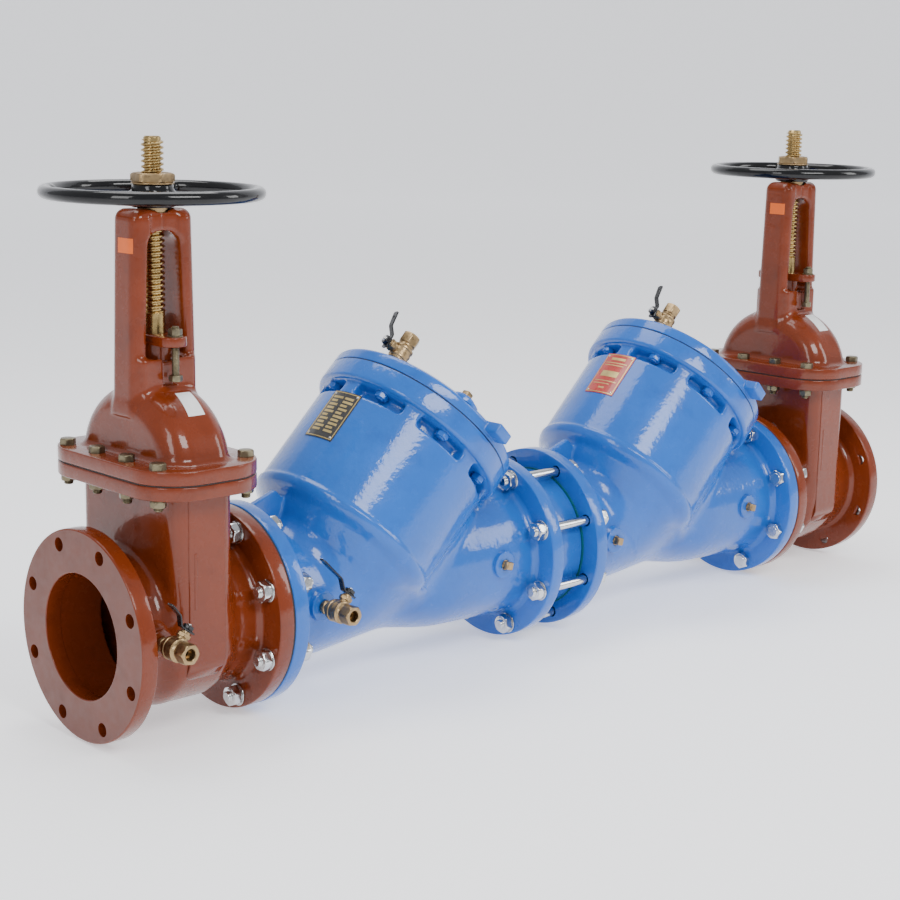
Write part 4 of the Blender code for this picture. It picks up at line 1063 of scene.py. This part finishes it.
def plug(name, base, direction):
    q = place(base, direction, (0.3, 0, 1))
    piece = Piece(name + "_square_head")
    piece.add(stud(8.9, -12, 3.0, q, 1.8, 32), BRONZE)
    rows = []
    for z, s in ((2, 7.5), (11.2, 7.4), (12.6, 6.3)):
        rows.append([(x * s, y * s, z) for x, y in ((-1, -0.84), (-0.84, -1), (0.84, -1), (1, -0.84), (1, 0.84), (0.84, 1), (-0.84, 1), (-1, 0.84))])
    piece.add(stack(rows, q), BRONZE)
    piece.make("housing", "bronze", (name,))


plug("check1_outlet_plug", (CHECKS["check1"] + 522.0, -128.4, 3.0), (0, -1, 0))
plug("check2_inlet_plug", (CHECKS["check2"] + 101.0, -128.4, 0.0), (0, -1, 0))
plug("check2_outlet_plug", (CHECKS["check2"] + 518.0, -128.4, 5.0), (0, -1, 0))
plug("check1_cover_plug", put(np.array([[-58, -140, 38.4]]), at_check(CHECKS["check1"]))[0], TILT)


# ---------------------------------------------------------------- inner pieces of the checks
for name, x0 in CHECKS.items():
    m = at_check(x0)
    seat = Piece(name + "_seat_turned")
    seat.add(lathe(softened([(84, -264), (92.2, -264), (92.2, -245.6), (112, -245.6), (96, -231), (84, -231)], 1.0, closed=True, steps=2), m, 112, closed=True), BRONZE)
    seat.make("housing", "bronze", (name + "_seat_ring",))
    disc = Piece(name + "_poppet")
    disc.add(lathe(softened([(0, -230.6), (101, -230.6), (103.6, -227), (103.6, -218), (98, -214), (34, -205), (20, -198), (11.9, -190), (11.9, -43), (0, -42)],
                            [0, 1, 1, 1.5, 3, 6, 6, 4, 1.5, 0], steps=3), m, 96), BRONZE)
    disc.make(name + "_poppet", "bronze", (name + "_disc",))
    # coil spring with closed ends
    turns, per = 5.0, 40
    pts, sizes = [], []
    for k in range(int(turns * per) + 1):
        a = 2 * math.pi * k / per
        s = k / (turns * per)
        s = min(max((s - 0.08) / 0.84, 0), 1)
        pts.append((44 * math.cos(a), 44 * math.sin(a), -198.6 + (198.6 - 9.0) * s)); sizes.append(4.2)
    coil = Piece(name + "_coil")
    coil.add(swept(pts, sizes, m, 12), STEEL)
    spring = coil.make("housing", "stainless")
    # the imported spring stays as the deforming node; this coil is removed again
    bpy.data.objects.remove(spring)

finishes = {m["slot"]: m["slot"] for m in frame["record"]["materials"]}
looks = {"gate_paint": RED, "check_paint": BLUE, "wheel_paint": BLACK, "brass": BRASS, "bronze": BRONZE, "zinc": ZINC,
         "yellow_zinc": YELLOW, "stainless": STEEL, "lever_steel": LEVER, "rubber": RUBBER, "green_fibre": FIBRE}
slot_of = {s["node"]: s["material_slot"] for s in frame["record"]["subparts"]}
for node, obj in frame["nodes"].items():
    if obj.hide_render:
        continue
    obj.data.materials.clear()
    obj.data.materials.append(looks[slot_of[node]])


# ---------------------------------------------------------------- stage, light, camera
def cyclorama(name, color):
    """Floor that sweeps up behind the object, as seen by the camera."""
    away = (math.sin(math.radians(43.85)), math.cos(math.radians(43.85)))
    profile = [(-24.0, 0.0), (13.0, 0.0)]
    for k in range(1, 25):
        a = math.pi / 2 * k / 24
        profile.append((13.0 + 7.0 * math.sin(a), 7.0 * (1 - math.cos(a))))
    profile.append((20.0, 26.0))
    v, f = [], []
    for d, h in profile:
        for w in (-34.0, 34.0):
            v.append((away[0] * d + away[1] * w, away[1] * d - away[0] * w, h - 0.1745))
    for i in range(len(profile) - 1):
        f.append((2 * i, 2 * i + 2, 2 * i + 3, 2 * i + 1))
    mesh = bpy.data.meshes.new(name); mesh.from_pydata(v, [], f); mesh.update()
    if mesh.polygons[0].normal.z < 0:
        mesh.flip_normals()
    for p in mesh.polygons:
        p.use_smooth = True
    mat = bpy.data.materials.new(name); mat.use_nodes = True
    b = mat.node_tree.nodes["Principled BSDF"]
    b.inputs["Base Color"].default_value = (*color, 1); b.inputs["Roughness"].default_value = 0.85
    b.inputs["Specular IOR Level"].default_value = 0.1
    b.inputs["Emission Color"].default_value = (0.95, 0.96, 1.0, 1); b.inputs["Emission Strength"].default_value = 0.6
    mesh.materials.append(mat)
    obj = bpy.data.objects.new(name, mesh); bpy.context.scene.collection.objects.link(obj)


cyclorama("floor", (0.9, 0.9, 0.905))
world = bpy.data.worlds.new("studio"); bpy.context.scene.world = world; world.use_nodes = True
bg = world.node_tree.nodes["Background"]
bg.inputs["Color"].default_value = (0.93, 0.95, 1.0, 1); bg.inputs["Strength"].default_value = 0.6


def area(name, location, target, width, height, power, color=(1, 1, 1)):
    light = bpy.data.lights.new(name, "AREA"); light.shape = "RECTANGLE"
    light.size, light.size_y, light.energy, light.color = width, height, power, color
    obj = bpy.data.objects.new(name, light); bpy.context.scene.collection.objects.link(obj)
    obj.location = location
    obj.rotation_euler = (Vector(target) - Vector(location)).to_track_quat("-Z", "Y").to_euler()
    return obj


area("key", (0.2, -3.6, 3.2), (0.9, 0, 0.2), 2.2, 1.4, 130)
area("left", (-2.6, -1.2, 1.9), (0.6, 0, 0.2), 1.0, 1.8, 38)
area("right", (3.6, -2.6, 1.8), (1.2, 0, 0.2), 1.0, 1.8, 42)
area("top", (0.9, 0.8, 3.4), (0.9, 0, 0), 2.6, 1.6, 70)

az, pitch, roll = math.radians(-43.84755814), math.radians(11.46348485), math.radians(1.15049651)
back = Vector((math.sin(az) * math.cos(pitch), -math.cos(az) * math.cos(pitch), math.sin(pitch)))
right0 = Vector((0, 0, 1)).cross(back).normalized(); up0 = back.cross(right0)
right = right0 * math.cos(roll) + up0 * math.sin(roll); up = up0 * math.cos(roll) - right0 * math.sin(roll)
lens = bpy.data.cameras.new("photo_view"); lens.sensor_width = 36.0; lens.lens = 73.553
lens.clip_end = 200
camera = bpy.data.objects.new("photo_view", lens); bpy.context.scene.collection.objects.link(camera)
camera.matrix_world = Matrix(((right.x, up.x, back.x, -1.49937), (right.y, up.y, back.y, -2.38743), (right.z, up.z, back.z, 0.87001), (0, 0, 0, 1)))
bpy.context.scene.camera = camera
